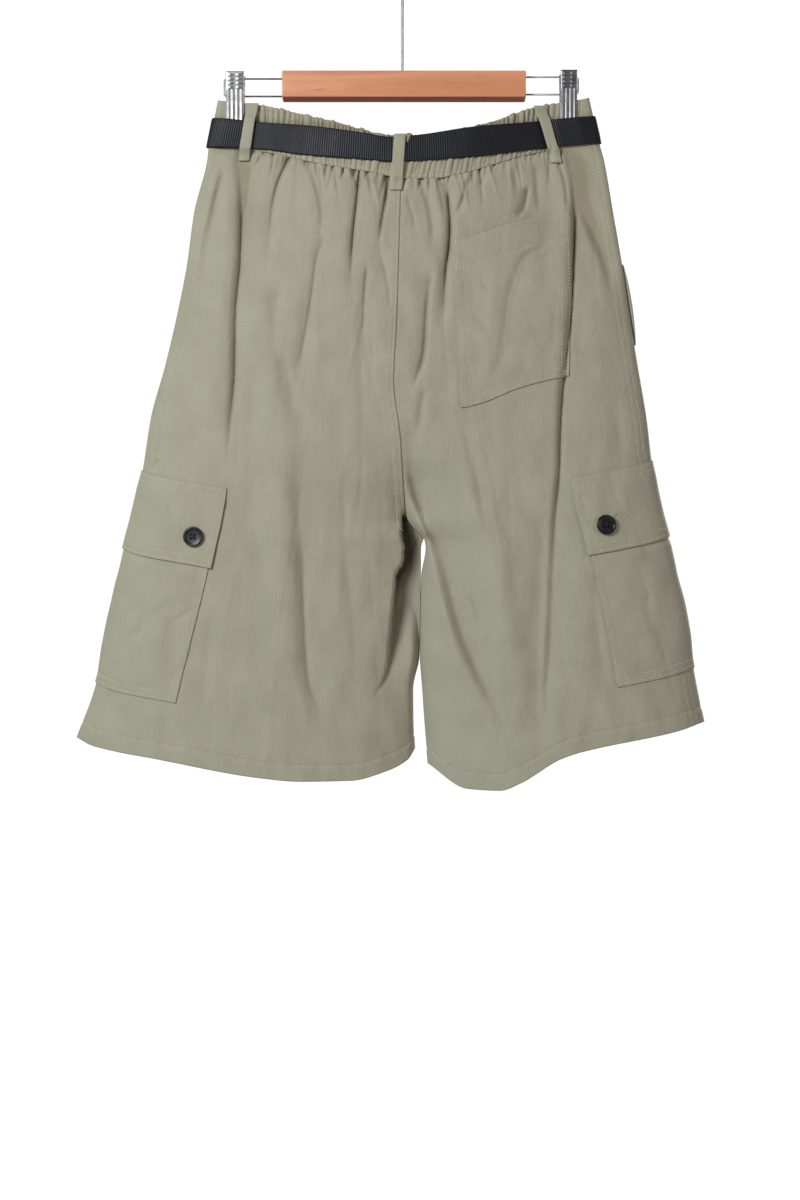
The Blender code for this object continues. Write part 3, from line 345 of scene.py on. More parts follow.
# the finer creases of the back; the narrow ones are sharp lines in the cloth
BACK_CREASES = (
    Fold(3.4, 1.2, 2.4, 1.3, 5, 110, ((-161, 152), (-161, 200), (-162.5, 262), (-167, 315), (-168, 370),
         (-173, 430), (-176, 480))),
    Fold(2.0, 4, 1.6, 1.6, 6, 20, ((-152.5, 163), (-156, 190), (-158, 217))),
    Fold(2.6, 1.3, 2.6, 1.4, 3, 8, ((-138, 150), (-143, 158), (-148, 167))),
    Fold(2.6, 1.2, 1.8, 1.3, 6, 70, ((-112, 154), (-126, 186), (-131.5, 214), (-134, 250))),
    Fold(1.2, 5, 4, 1.7, 20, 35, ((-121, 345), (-113, 385), (-108, 425))),
    Fold(1.6, 1.3, 3, 1.4, 4, 12, ((-75.5, 163), (-76.5, 182))),
    Fold(1.4, 3, 2, 1.6, 4, 10, ((-88, 228), (-80, 240), (-84, 252))),
    Fold(3.4, 1.1, 1.6, 1.3, 4, 50, ((-42.8, 168), (-46, 200), (-50.5, 245), (-52, 290))),
    Fold(1.6, 1.2, 2.4, 1.3, 20, 60, ((-81, 240), (-86, 256), (-90.5, 290), (-95, 320), (-101, 352),
         (-105.5, 385))),
    Fold(2.0, 1.2, 3.0, 1.3, 60, 40, ((-101.5, 540), (-99, 620), (-95, 680), (-80, 722))),
    Fold(2.0, 1.3, 2.6, 1.5, 3, 10, ((-51, 157), (-51, 168), (-47, 180), (-44, 192))),
    Fold(2.2, 1.3, 2.5, 1.4, 15, 40, ((-35.5, 262), (-38.5, 300), (-40, 345))),
    Fold(2.6, 1.7, 1.1, 1.3, 5, 20, ((-12.8, 172), (-17, 200), (-21.5, 227), (-23.5, 243))),
    Fold(1.2, 1.5, 2, 1.5, 10, 20, ((-19, 262), (-14, 290), (-10.5, 318))),
    Fold(1.4, 2, 4, 1.5, 8, 40, ((-205, 230), (-211, 280), (-219, 320))),
    Fold(4.6, 1.3, 1.8, 1.3, 15, 55, ((44.5, 186), (47.3, 228), (46.5, 246), (43, 273), (41, 325))),
    Fold(2.2, 1.6, 4, 1.8, 5, 20, ((65, 178), (59.5, 200), (50.5, 222))),
    Fold(1.6, 3, 2, 1.6, 5, 12, ((85, 170), (78, 185), (70, 192))),
    Fold(2.2, 1.5, 2, 1.4, 20, 25, ((25.5, 285), (23, 320), (21, 352), (9, 390))),
    Fold(2.2, 4, 6, 1.8, 15, 30, ((22.5, 382), (18, 410), (13.5, 445))),
    Fold(1.8, 3, 2, 1.6, 5, 20, ((4, 196), (10, 214), (14, 238))),
    Fold(1.8, 3, 4, 1.8, 6, 15, ((111, 168), (116, 198))),
    Fold(1.8, 2.5, 5, 1.8, 6, 12, ((132, 165), (134.5, 190), (136, 214))),
    Fold(2.4, 1.6, 3, 2.0, 5, 14, ((155, 160), (163, 186), (165.2, 212))),
    Fold(3.2, 1.2, 2.2, 1.3, 5, 160, ((165, 154), (170, 172), (171.8, 214), (170, 270), (166.5, 326),
         (162, 368), (158, 419), (156.5, 470), (152, 520), (148.5, 595))),
    Fold(1.8, 6, 9, 1.8, 25, 50, ((184, 200), (195, 240), (208, 285), (214, 320))),
    Fold(1.6, 9, 12, 1.9, 60, 120, ((-148, 330), (-150, 450), (-146, 560), (-150, 690))),
    Fold(1.8, 3, 5, 1.8, 15, 20, ((66, 588), (72.5, 610), (80, 635))),
    Fold(1.4, 9, 7, 1.8, 30, 60, ((212, 380), (216, 420), (222, 462))),
    Fold(1.5, 4, 6, 1.7, 25, 40, ((60, 420), (78, 500), (92, 560))),
    Fold(1.4, 5, 9, 1.8, 30, 60, ((-60, 470), (-56, 560), (-48, 640), (-46, 700))),
    Fold(1.3, 5, 5, 1.7, 20, 40, ((-226, 410), (-206, 436), (-190, 462))),
    Fold(1.6, 2, 3.5, 1.6, 4, 5, ((-243, 457), (-248, 463), (-255, 470))),
    Fold(1.1, 6, 9, 1.8, 14, 14, ((-226, 596), (-246, 614), (-268, 640))),
    Fold(0.9, 5, 7, 1.8, 10, 12, ((-206, 604), (-222, 618), (-238, 628))),
    Fold(1.4, 5, 4, 1.8, 15, 20, ((-262, 585), (-258, 610), (-270, 650))),
    Fold(0.9, 6, 8, 1.8, 12, 14, ((-206, 640), (-214, 660), (-232, 682))),
    Fold(1.0, 6, 8, 1.8, 12, 14, ((206, 590), (226, 606), (252, 622))),
    Fold(0.9, 6, 7, 1.8, 12, 14, ((222, 628), (240, 640), (262, 650))),
    Fold(1.3, 5, 4, 1.8, 15, 20, ((246, 585), (243, 604), (252, 640))),
    Fold(1.2, 5, 7, 1.8, 30, 40, ((-190, 600), (-196, 660), (-204, 730))),
    Fold(1.2, 6, 6, 1.8, 30, 40, ((190, 560), (196, 640), (204, 715))),
)

# knots where the gathers bunch under the seam, each at (across, level)
KNOTS = ((17, 177), (20.5, 179), (36, 178), (41, 176), (46, 178.5), (91, 164), (-60, 169), (-30, 173))

# soft folds of the front, which hangs as the back does
FRONT_FOLDS = (
    Fold(5.0, 2.5, 9, 1.5, 25, 120, ((-160, 165), (-163, 240), (-172, 330), (-180, 430))),
    Fold(3.6, 2, 7, 1.4, 20, 90, ((-104, 165), (-112, 230), (-116, 300), (-110, 360))),
    Fold(4.2, 3, 10, 1.6, 30, 140, ((-66, 185), (-74, 260), (-88, 380), (-96, 520), (-98, 660))),
    Fold(2.4, 2, 5, 1.4, 15, 60, ((-28, 180), (-33, 230), (-30, 290))),
    Fold(2.6, 5, 2, 1.4, 15, 70, ((32, 182), (38, 235), (36, 300))),
    Fold(4.4, 9, 3, 1.6, 30, 150, ((74, 172), (84, 260), (96, 400), (106, 540), (112, 690))),
    Fold(3.4, 7, 2, 1.4, 20, 90, ((118, 162), (128, 230), (132, 320), (126, 370))),
    Fold(5.0, 9, 2.5, 1.5, 25, 120, ((166, 160), (172, 240), (180, 340), (186, 440))),
    Fold(4.0, 10, 10, 1.9, 60, 90, ((-52, 400), (-40, 520), (-30, 640))),
    Fold(-3.0, 14, 14, 1.9, 70, 90, ((-130, 360), (-140, 520), (-150, 700))),
    Fold(4.5, 9, 12, 1.9, 60, 90, ((58, 520), (78, 620), (96, 730))),
    Fold(-3.0, 14, 14, 1.9, 70, 90, ((150, 380), (158, 520), (170, 690))),
    Fold(3.0, 12, 12, 1.9, 60, 90, ((190, 560), (196, 650), (204, 735))),
    Fold(3.0, 12, 12, 1.9, 60, 90, ((-196, 560), (-206, 650), (-212, 750))),
)


class Columns(NamedTuple):
    """Share t, from centre to side seam, of a line down a panel at each of LINE_V."""
    waist: float
    seat: float
    flap_top: float
    flap_foot: float
    pocket_foot: float
    hem: float


LINE_V = (0.0, 0.378, 0.549, 0.681, 0.907, 1.0)
FLAP_EDGE = {
    (Face.BACK, Side.LEFT): Columns(0.83, 0.71, 0.684, 0.700, 0.738, 0.745),
    (Face.BACK, Side.RIGHT): Columns(0.90, 0.80, 0.660, 0.680, 0.704, 0.712),
    (Face.FRONT, Side.LEFT): Columns(0.71, 0.70, 0.684, 0.700, 0.738, 0.745),
    (Face.FRONT, Side.RIGHT): Columns(0.70, 0.69, 0.660, 0.680, 0.704, 0.712),
}
CARGO_EDGE = {
    (Face.BACK, Side.LEFT): Columns(0.845, 0.725, 0.698, 0.709, 0.751, 0.757),
    (Face.BACK, Side.RIGHT): Columns(0.915, 0.815, 0.674, 0.691, 0.716, 0.726),
    (Face.FRONT, Side.LEFT): Columns(0.725, 0.715, 0.698, 0.709, 0.751, 0.757),
    (Face.FRONT, Side.RIGHT): Columns(0.715, 0.705, 0.674, 0.691, 0.716, 0.726),
}
PATCH_INNER = Columns(0.245, 0.250, 0.255, 0.26, 0.27, 0.27)
PATCH_OUTER = Columns(0.83, 0.70, 0.61, 0.54, 0.46, 0.43)
FLAP_SPAN = (0.549, 0.681)      # v of its top and foot
CARGO_SPAN = (0.585, 0.907)


def line_down(columns: Columns) -> Curve:
    """The share t of a line down a panel, as a function of v."""
    return curve_through(list(zip(LINE_V, columns)))


# ---- shape of the garment

@dataclass
class Garment:
    """The shape that every cloth piece reads its points from."""
    eye_distance: float = 1800.0   # places on the back are tabled as seen from here
    eye_across: float = -2.5
    eye_level: float = 600.0
    roundness: float = 2.2         # of the sections: 2 is an ellipse
    crotch_level: float = 538.0
    crotch_v: float = 0.62
    spread_level: float = 400.0
    pinch_level: float = 150.0
    free_level: float = 330.0
    waist_level: float = 100.0
    centre_head: float = 178.0
    inseam_foot: float = 765.0
    waist_end: float = 6.0
    fold_room: float = 7.0
    ridge_room: float = 2.5
    least_depth: float = 2.2       # folds leave the cloth this far out, so that no wall meets another
    length: float = 600.0          # of the cloth, from waist seam to hem

    def __post_init__(self) -> None:
        """Make the curves through the tables."""
        self.half_width = {Side.LEFT: curve_through([(row.level, row.left) for row in OUTLINE]),
                           Side.RIGHT: curve_through([(row.level, row.right) for row in OUTLINE])}
        self.fullness = {Face.BACK: curve_through([(row.level, row.back) for row in FULLNESS]),
                         Face.FRONT: curve_through([(row.level, row.front) for row in FULLNESS])}
        self.inseam = {side: curve_through(INSEAM[side]) for side in Side}
        self.hem = {side: curve_through(HEM[side]) for side in Side}
        self.centre_seam, self.pinch = curve_through(CENTRE_SEAM), curve_through(PINCH)
        self.waist_seam, self.waist_top = curve_through(WAIST_SEAM), curve_through(WAIST_TOP)
        self.side_head = {Side.LEFT: WAIST_SEAM[0][1], Side.RIGHT: WAIST_SEAM[-1][1]}
        self.side_foot = {Side.LEFT: HEM[Side.LEFT][0][1], Side.RIGHT: HEM[Side.RIGHT][-1][1]}
        self.folds = {Face.BACK: [*BACK_FOLDS, *BACK_CREASES, *small_gathers(), *soft_streaks(31, 46)],
                      Face.FRONT: [*FRONT_FOLDS, *soft_streaks(37, 40)]}

    def inner_edge(self, side: Side, level: Number) -> Grid:
        """Across of the centre seam, or of the inseam below the crotch."""
        seam = self.centre_seam(level) + side * GAP / 2
        return np.where(np.asarray(level) < self.crotch_level, seam, self.inseam[side](level))

    def outer_edge(self, side: Side, level: Number) -> Grid:
        """Across of the side seam."""
        return side * self.half_width[side](level)

    def flat_place(self, side: Side, t: Grid, v: Grid) -> tuple[Grid, Grid]:
        """Where a point of one half lies, seen flat.

        Args:
            side: Left or right half.
            t: Share from the centre to the side seam.
            v: Share from the waist seam to the hem.

        Returns:
            Its across and level.
        """
        head_in, foot_in = self.inner_edge(side, self.centre_head), self.inner_edge(side, self.inseam_foot)
        head_out = self.outer_edge(side, self.side_head[side])
        foot_out = self.outer_edge(side, self.side_foot[side])
        head_x, foot_x = lerp(head_in, head_out, t), lerp(foot_in, foot_out, t)
        head_y, foot_y = self.waist_seam(head_x), self.hem[side](foot_x)
        in_head, out_head = self.waist_seam(head_in), self.waist_seam(head_out)
        in_foot, out_foot = self.hem[side](foot_in), self.hem[side](foot_out)
        above = lerp(in_head, self.crotch_level, v / self.crotch_v)
        below = lerp(self.crotch_level, in_foot, (v - self.crotch_v) / (1 - self.crotch_v))
        in_level = np.where(v < self.crotch_v, above, below)
        out_level = lerp(out_head, out_foot, v)
        in_bow = self.inner_edge(side, in_level) - lerp(head_in, foot_in, v)
        out_bow = self.outer_edge(side, out_level) - lerp(head_out, foot_out, v)
        near = (1 - t) ** 3
        across = lerp(head_x, foot_x, v) + in_bow * near + out_bow * t
        return across, lerp(head_y, foot_y, v) + (in_level - lerp(in_head, in_foot, v)) * near

    def clipped_depth(self, across: Number, half: Number) -> Grid:
        """Depth of the waist where the clips hold it, turning round at the side."""
        turn = np.clip((np.abs(across) - (half - self.waist_end)) / self.waist_end, 0.0, 1.0)
        return self.pinch(np.abs(across)) * np.sqrt(1 - turn ** 2)

    def depth(self, side: Side, face: Face, across: Grid, level: Grid) -> Grid:
        """Depth of the outer side of a panel.

        Args:
            side: Left or right half.
            face: Back or front.
            across: Places across.
            level: And their levels.

        Returns:
            One depth for each place.
        """
        inner, outer = self.inner_edge(side, level), self.outer_edge(side, level)
        t = np.clip((across - inner) / (outer - inner), 0.0, 1.0)
        apart = smooth((level - self.spread_level) / (self.crotch_level - self.spread_level))
        parting = np.sin(math.pi / 2 * apart)
        s = np.clip(np.abs(t * (1 + parting) - parting), 0.0, 1.0)
        swell = (1 - s ** self.roundness) ** (1 / self.roundness)
        free = smooth((level - self.pinch_level) / (self.free_level - self.pinch_level))
        depth = lerp(self.clipped_depth(across, np.abs(outer)), self.fullness[face](level) * swell, free)
        dent = pressed(self.folds[face], across, level, side) + crinkle(across, level)
        room = np.where(dent > 0, self.fold_room, self.ridge_room)
        folded = depth - dent * np.minimum(1.0, depth / room)
        return np.maximum(folded, np.minimum(depth, self.least_depth))

    def true_place(self, face: Face, across: Number, level: Number, depth: Number) -> Grid:
        """Points in space.

        Args:
            face: Back or front; what stands out of the back is drawn in, since it is tabled as seen.
            across: Places across.
            level: And their levels.
            depth: How far each stands out.

        Returns:
            Points with X, Y and Z last.
        """
        if face == Face.BACK:
            nearer = 1 - depth / self.eye_distance
            across = self.eye_across + (across - self.eye_across) * nearer
            level = self.eye_level + (level - self.eye_level) * nearer
        return np.stack(np.broadcast_arrays(across, face * (depth + GAP / 2), -(MARK + level)), axis=-1)

    def laid(self, side: Side, face: Face, t: Grid, v: Grid) -> tuple[Grid, Grid]:
        """Points of a panel's outer side.

        Args:
            side: Left or right half.
            face: Back or front.
            t: Shares from the centre to the side seam.
            v: Shares from the waist seam to the hem.

        Returns:
            The points, and the (across, level) of each, seen flat.
        """
        across, level = self.flat_place(side, t, v)
        depth = self.depth(side, face, across, level)
        return self.true_place(face, across, level, depth), np.stack([across, level], axis=-1)

    def width(self, side: Side, v: Grid) -> Grid:
        """Width of a half, seen flat, at each v."""
        inner, outer = self.flat_place(side, 0 * v, v)[0], self.flat_place(side, 0 * v + 1, v)[0]
        return np.abs(outer - inner)


def small_gathers() -> list[Fold]:
    """Short creases that run down from the gathered waist seam.

    Returns:
        The creases, all different.
    """
    chance = np.random.default_rng(11)
    seam = curve_through(WAIST_SEAM)
    folds = []
    for across in np.arange(-150.0, 160.0, 3.4):
        start = across + chance.uniform(-2.0, 2.0)
        level = float(seam(start))
        length = chance.uniform(6, 16) if chance.random() < 0.7 else chance.uniform(18, 55)
        lean = chance.uniform(-0.3, 0.3) + 0.0006 * start
        depth = chance.uniform(1.1, 2.6) * chance.choice([1.0, 1.0, -0.8])
        path = ((start, level - 4.0), (start + lean * length, level + length))
        left, right = chance.uniform(0.8, 1.7), chance.uniform(1.0, 3.4)
        folds.append(Fold(depth, left, right, 1.4, 3, length * 0.8, path))
    for across, level in KNOTS:
        folds.append(Fold(2.6, 1.5, 1.8, 1.5, 1.5, 5, ((across, level - 3), (across + 1.0, level + 6))))
    return folds


def soft_streaks(seed: int, count: int) -> list[Fold]:
    """Shallow upright creases of cloth that was folded and hung.

    Args:
        seed: Of their random places.
        count: How many.

    Returns:
        The creases, all different.
    """
    chance = np.random.default_rng(seed)
    folds = []
    for _ in range(count):
        across, level = chance.uniform(-235, 235), chance.uniform(160, 600)
        length = chance.uniform(80, 260)
        lean = chance.normal(0.0, 0.10) + 0.0009 * across * (level > 380)
        bow = chance.normal(0.0, 2.0)
        path = ((across, level), (across + 0.5 * lean * length + bow, level + length / 2),
                (across + lean * length, level + length))
        depth = chance.uniform(0.2, 0.6) * chance.choice([1.0, 1.0, -1.0])
        left, right = chance.uniform(1.2, 6), chance.uniform(1.2, 6)
        folds.append(Fold(depth, left, right, 1.4, length / 3, length / 3, path))
    return folds


def crinkle(across: Grid, level: Grid) -> Grid:
    """The slight lasting waves of washed cloth.

    Args:
        across: Places across.
        level: And their levels.

    Returns:
        How far each is pressed in, in millimetres.
    """
    chance = np.random.default_rng(5)
    total = np.zeros(np.broadcast(across, level).shape)
    for _ in range(18):
        length, angle = chance.uniform(9, 40), chance.normal(0.0, 0.35)
        turn = chance.uniform(0, 2 * math.pi)
        along = across * math.cos(angle) + level * math.sin(angle)
        swing = 0.7 * np.sin(level / chance.uniform(60, 160) + chance.uniform(0, 6))
        total += 0.0028 * length * np.sin(2 * math.pi * along / length + turn + swing)
    return total


GARMENT = Garment()


# ---- making meshes

def placed(name: str, data: bpy.types.ID) -> Thing:
    """Put an object in the scene.

    Args:
        name: Its name.
        data: Its mesh, light or lens.

    Returns:
        The object.
    """
    thing = bpy.data.objects.new(name, data)
    bpy.context.scene.collection.objects.link(thing)
    return thing


def add_mesh(name: str, points: Grid, faces: Sequence, finish: "Finish", flat: Grid | None = None,
             painted_shade: Grid | None = None) -> Thing:
    """Put a smooth mesh in the scene.

    Args:
        name: The piece's name.
        points: Its points, in millimetres.
        faces: Its faces, by the numbers of their points.
        finish: What it is made of.
        flat: Where each point lies on the flat cloth, in metres, for the weave.
        painted_shade: How much shade is painted on each point's colour, from 0 to 1.

    Returns:
        The object.
    """
    mesh = bpy.data.meshes.new(name)
    mesh.from_pydata((points * MILLIMETRE).tolist(), [], faces)
    if flat is not None:
        layer = mesh.attributes.new("flat", "FLOAT_VECTOR", "POINT")
        layer.data.foreach_set("vector", np.ascontiguousarray(flat, np.float32).ravel())
        # painted shade, by which the cloth's material darkens its colour
        layer = mesh.attributes.new("painted_shade", "FLOAT", "POINT")
        layer.data.foreach_set("value", np.ascontiguousarray(painted_shade, np.float32).ravel())
    mesh.shade_smooth()
    mesh.materials.append(finish.material())
    return placed(name, mesh)


def from_shape(name: str, shape: bmesh.types.BMesh, finish: "Finish", sharp: float) -> Thing:
    """Put a hard piece in the scene.

    Args:
        name: The piece's name.
        shape: Its shape, in millimetres; it is freed.
        finish: What it is made of.
        sharp: Edges past this angle stay sharp, in degrees.

    Returns:
        The object.
    """
    bmesh.ops.scale(shape, vec=(MILLIMETRE,) * 3, verts=shape.verts)
    mesh = bpy.data.meshes.new(name)
    shape.to_mesh(mesh)
    shape.free()
    mesh.shade_smooth()
    mesh.set_sharp_from_angle(angle=math.radians(sharp))
    mesh.materials.append(finish.material())
    return placed(name, mesh)


def grid_faces(numbers: Grid) -> Grid:
    """Quads between neighbouring rows and columns of point numbers."""
    quads = (numbers[:-1, :-1], numbers[:-1, 1:], numbers[1:, 1:], numbers[1:, :-1])
    return np.stack(quads, axis=-1).reshape(-1, 4)


@dataclass
class Shell:
    """Closed cloth between two grids, its cut edges turned round."""
    outer: Grid
    inner: Grid
    sign: int              # 1 where the rows cross the columns toward the outside, else -1
    turn: float = 0.45     # how far the turned edge bulges, in walls

    def build(self, name: str, finish: "Finish", flat: Grid, added_painted_shade: Number = 0.0) -> Thing:
        """Make the mesh.

        Args:
            name: The piece's name.
            finish: Its finish.
            flat: (across, level) of each point on the flat cloth, in millimetres.
            added_painted_shade: Painted shade added to each point's own, for deep places between layers.

        Returns:
            The object.
        """
        count = self.outer[..., 0].size
        numbers = np.arange(count).reshape(self.outer.shape[:2])
        rim = np.concatenate([numbers[0, :-1], numbers[:-1, -1], numbers[-1, :0:-1], numbers[:0:-1, 0]])
        outer, inner = self.outer.reshape(-1, 3), self.inner.reshape(-1, 3)
        wall = np.linalg.norm(outer[rim] - inner[rim], axis=1, keepdims=True)
        middle = (outer[rim] + inner[rim]) / 2 + self.edge_directions()[rim] * wall * self.turn
        ring = 2 * count + np.arange(len(rim))
        band = np.stack([rim, ring, rim + count])
        band = np.hstack([band, band[:, :1]])
        turned_edge = [np.stack([a[:-1], b[:-1], b[1:], a[1:]], axis=-1) for a, b in zip(band, band[1:])]
        quads = np.vstack([grid_faces(numbers), grid_faces(numbers + count)[:, ::-1], *turned_edge])
        cloth = np.pad(flat.reshape(-1, 2) * MILLIMETRE, ((0, 0), (0, 1)))
        # painted shade: in the creases, plus what is added
        deep = (painted_crease_shade(self.outer, directions(self.outer, self.sign)) + added_painted_shade).ravel()
        return add_mesh(name, np.vstack([outer, inner, middle]), quads[:, ::self.sign].tolist(), finish,
                        np.vstack([cloth, cloth, cloth[rim]]), np.concatenate([deep, deep, deep[rim]]))

    def edge_directions(self) -> Grid:
        """Directions out of the cloth's edges, in its own surface.

        Returns:
            One for each point, all zero inside.
        """
        reach = np.zeros_like(self.outer)
        for grid, out in ((self.outer, reach), (self.outer.swapaxes(0, 1), reach.swapaxes(0, 1))):
            out[0] += unit(grid[0] - grid[1])
            out[-1] += unit(grid[-1] - grid[-2])
        return unit(reach).reshape(-1, 3)

    def sewn_on(self, name: str, node: str, flat: Grid, added_painted_shade: Number = 0.0) -> tuple[Thing, "Surface"]:
        """Build it of the shorts' cloth in place of a solid, and give its outer side too."""
        thing = dress(self.build(name, CLOTH, flat, added_painted_shade), Slot.CLOTH, node)
        return thing, Surface(self.outer, directions(self.outer, self.sign))


def joined(name: str, parts: Sequence[tuple], finish: "Finish") -> Thing:
    """One mesh from many small bodies.

    Args:
        name: The piece's name.
        parts: (points, faces) of each body.
        finish: Their finish.

    Returns:
        The object.
    """
    faces, start = [], 0
    for body, quads in parts:
        faces += [[start + k for k in face] for face in quads]
        start += len(body)
    return add_mesh(name, np.vstack([body for body, _ in parts]), faces, finish)


def swept(path: Grid, radius: Number, sides: int = 10) -> tuple:
    """A round body along a line.

    Args:
        path: Points of its centreline.
        radius: Its radius, one number or one for each point.
        sides: Corners of its section.

    Returns:
        Its points and faces.
    """
    ahead = unit(np.gradient(path, axis=0))
    start = (0.0, 1.0, 0.0) if abs(ahead[0][1]) < 0.9 else (1.0, 0.0, 0.0)
    across = unit(np.cross(ahead[0], start))
    turn = np.linspace(0, 2 * math.pi, sides, endpoint=False)[:, None]
    rings = []
    for place, onward, size in zip(path, ahead, np.broadcast_to(radius, len(path))):
        across = unit(across - onward * np.dot(across, onward))
        rings.append(place + size * (np.cos(turn) * across + np.sin(turn) * np.cross(onward, across)))
    numbers = np.arange(len(path) * sides).reshape(-1, sides)
    faces = grid_faces(np.hstack([numbers, numbers[:, :1]])).tolist()
    return np.vstack(rings), [*faces, numbers[0, ::-1].tolist(), numbers[-1].tolist()]


def turned(profile: Sequence[tuple], sides: int) -> tuple:
    """A closed body turned round Z.

    Args:
        profile: (radius, height) from its foot to its top; the first and last lie on the axis.
        sides: Corners round it.

    Returns:
        Its points and faces.
    """
    turn = np.linspace(0, 2 * math.pi, sides, endpoint=False)
    rings = [np.stack([r * np.cos(turn), r * np.sin(turn), 0 * turn + z], axis=-1) for r, z in profile[1:-1]]
    numbers = 1 + np.arange(len(rings) * sides).reshape(-1, sides)
    last = 1 + numbers.size
    faces = []
    for a, b in zip(numbers.T.tolist(), np.roll(numbers, -1, axis=1).T.tolist()):
        faces += [[0, b[0], a[0]], *[[a[k], b[k], b[k + 1], a[k + 1]] for k in range(len(a) - 1)],
                  [a[-1], b[-1], last]]
    foot, top = [(0.0, 0.0, height) for _, height in (profile[0], profile[-1])]
    return np.vstack([foot, *rings, top]), faces


# ---- finishes

WAVE_SPAN = math.pi / 10   # one band of a wave texture at scale 1, in metres
WHITE = (1.0, 1.0, 1.0)


class Nodes:
    """A short way to lay out a material's nodes."""

    def __init__(self, name: str) -> None:
        """Start a material with its shader and output only.

        Args:
            name: The material's name.
        """
        self.material = bpy.data.materials.new(name)
        self.material.use_nodes = True
        self.tree = self.material.node_tree
        self.shader = self.tree.nodes["Principled BSDF"]

    def give(self, socket: Socket, value: object) -> None:
        """Join an output to an input, or set the input's own value.

        Args:
            socket: The input.
            value: The output, or a constant.
        """
        if isinstance(value, Socket):
            self.tree.links.new(value, socket)
        else:
            socket.default_value = value

    def set(self, **values: object) -> None:
        """Give the shader's sockets, their names with _ for a space."""
        for key, value in values.items():
            self.give(self.shader.inputs[key.replace("_", " ")], value)

    def add(self, kind: str, **values: object) -> bpy.types.Node:
        """Add a node.

        Args:
            kind: Its type.
            values: Its settings, and what its sockets are given, their names with _ for a space.

        Returns:
            The node.
        """
        node = self.tree.nodes.new(kind)
        for key, value in values.items():
            if hasattr(node, key):
                setattr(node, key, value)
            else:
                self.give(node.inputs[key.replace("_", " ")], value)
        return node

    def flat(self) -> Socket:
        """Coordinates on the flat cloth."""
        return self.add("ShaderNodeAttribute", attribute_name="flat").outputs["Vector"]

    def place(self) -> Socket:
        """The object's own coordinates."""
        return self.add("ShaderNodeTexCoord").outputs["Object"]

    def scaled(self, source: Socket, *scale: float) -> Socket:
        """Coordinates stretched along each axis."""
        return self.add("ShaderNodeMapping", Scale=scale, Vector=source).outputs["Vector"]

    def noise(self, place: Socket, scale: float, detail: float = 3.0, rough: float = 0.55,
              warp: float = 0.0) -> Socket:
        """Cloudy noise, its scale in clouds to the metre."""
        return self.add("ShaderNodeTexNoise", Scale=scale, Detail=detail, Roughness=rough, Distortion=warp,
                        Vector=place).outputs["Fac"]

    def wave(self, place: Socket, scale: float, direction: str, warp: float, fine: float = 1.0) -> Socket:
        """Even bands, their scale the number to a span of WAVE_SPAN."""
        return self.add("ShaderNodeTexWave", bands_direction=direction, Scale=scale, Distortion=warp,
                        Detail=1.0, Detail_Scale=fine, Vector=place).outputs["Fac"]

    def maths(self, operation: str, a: object, b: object) -> Socket:
        """One sum.

        Args:
            operation: Which.
            a: A value or output.
            b: Another.

        Returns:
            The answer.
        """
        node = self.add("ShaderNodeMath", operation=operation)
        for socket, value in zip(node.inputs, (a, b)):
            self.give(socket, value)
        return node.outputs["Value"]

    def blend(self, a: Socket, b: Socket, share: float) -> Socket:
        """Two values mixed, with a share of the second."""
        return self.maths("ADD", self.maths("MULTIPLY", a, 1 - share), self.maths("MULTIPLY", b, share))

    def spread(self, value: Socket, low: float, high: float) -> Socket:
        """A value from 0 to 1 put between two others."""
        return self.add("ShaderNodeMapRange", Value=value, To_Min=low, To_Max=high).outputs["Result"]

    def ramp(self, source: Socket, *stops: tuple) -> Socket:
        """Colours by value.

        Args:
            source: The value.
            stops: (place, colour) pairs, the places rising.

        Returns:
            The colour.
        """
        node = self.add("ShaderNodeValToRGB", Fac=source)
        elements = node.color_ramp.elements
        while len(elements) < len(stops):
            elements.new(0.5)
        for element, (place, colour) in zip(elements, stops):
            element.position = place
            element.color = (*colour, 1.0)
        return node.outputs["Color"]

    def mixed(self, share: object, a: Socket, b: object, blend: str = "MIX") -> Socket:
        """Two colours mixed.

        Args:
            share: How much of the second, a number or an output.
            a: First colour.
            b: Second colour, as numbers or an output.
            blend: How they mix.

        Returns:
            The colour.
        """
        node = self.add("ShaderNodeMix", data_type="RGBA", blend_type=blend)
        sockets = (node.inputs["Factor"], *[s for s in node.inputs if s.type == "RGBA"])
        for socket, value in zip(sockets, (share, a, b)):
            self.give(socket, (*value, 1.0) if isinstance(value, tuple) else value)
        return [s for s in node.outputs if s.type == "RGBA"][0]

    def relief(self, *layers: tuple) -> None:
        """Give the shader a bumpy surface.

        Args:
            layers: (height output, depth in metres, strength) of each layer, coarse ones first.
        """
        below = {}
        for height, depth, strength in layers:
            bumps = self.add("ShaderNodeBump", Strength=strength, Distance=depth, Height=height, **below)
            below = {"Normal": bumps.outputs["Normal"]}
        self.set(**below)


class Finish:
    """A finish whose material is made once."""
    name: str
    made: dict = {}

    def material(self) -> bpy.types.Material:
        """Find the material, or make it the first time.

        Returns:
            The material.
        """
        if self.name not in self.made:
            nodes = Nodes(self.name)
            self.lay_out(nodes)
            self.made[self.name] = nodes.material
        return self.made[self.name]

    def lay_out(self, nodes: Nodes) -> None:
        """Set the shader and join its nodes; each finish has its own."""
        raise NotImplementedError


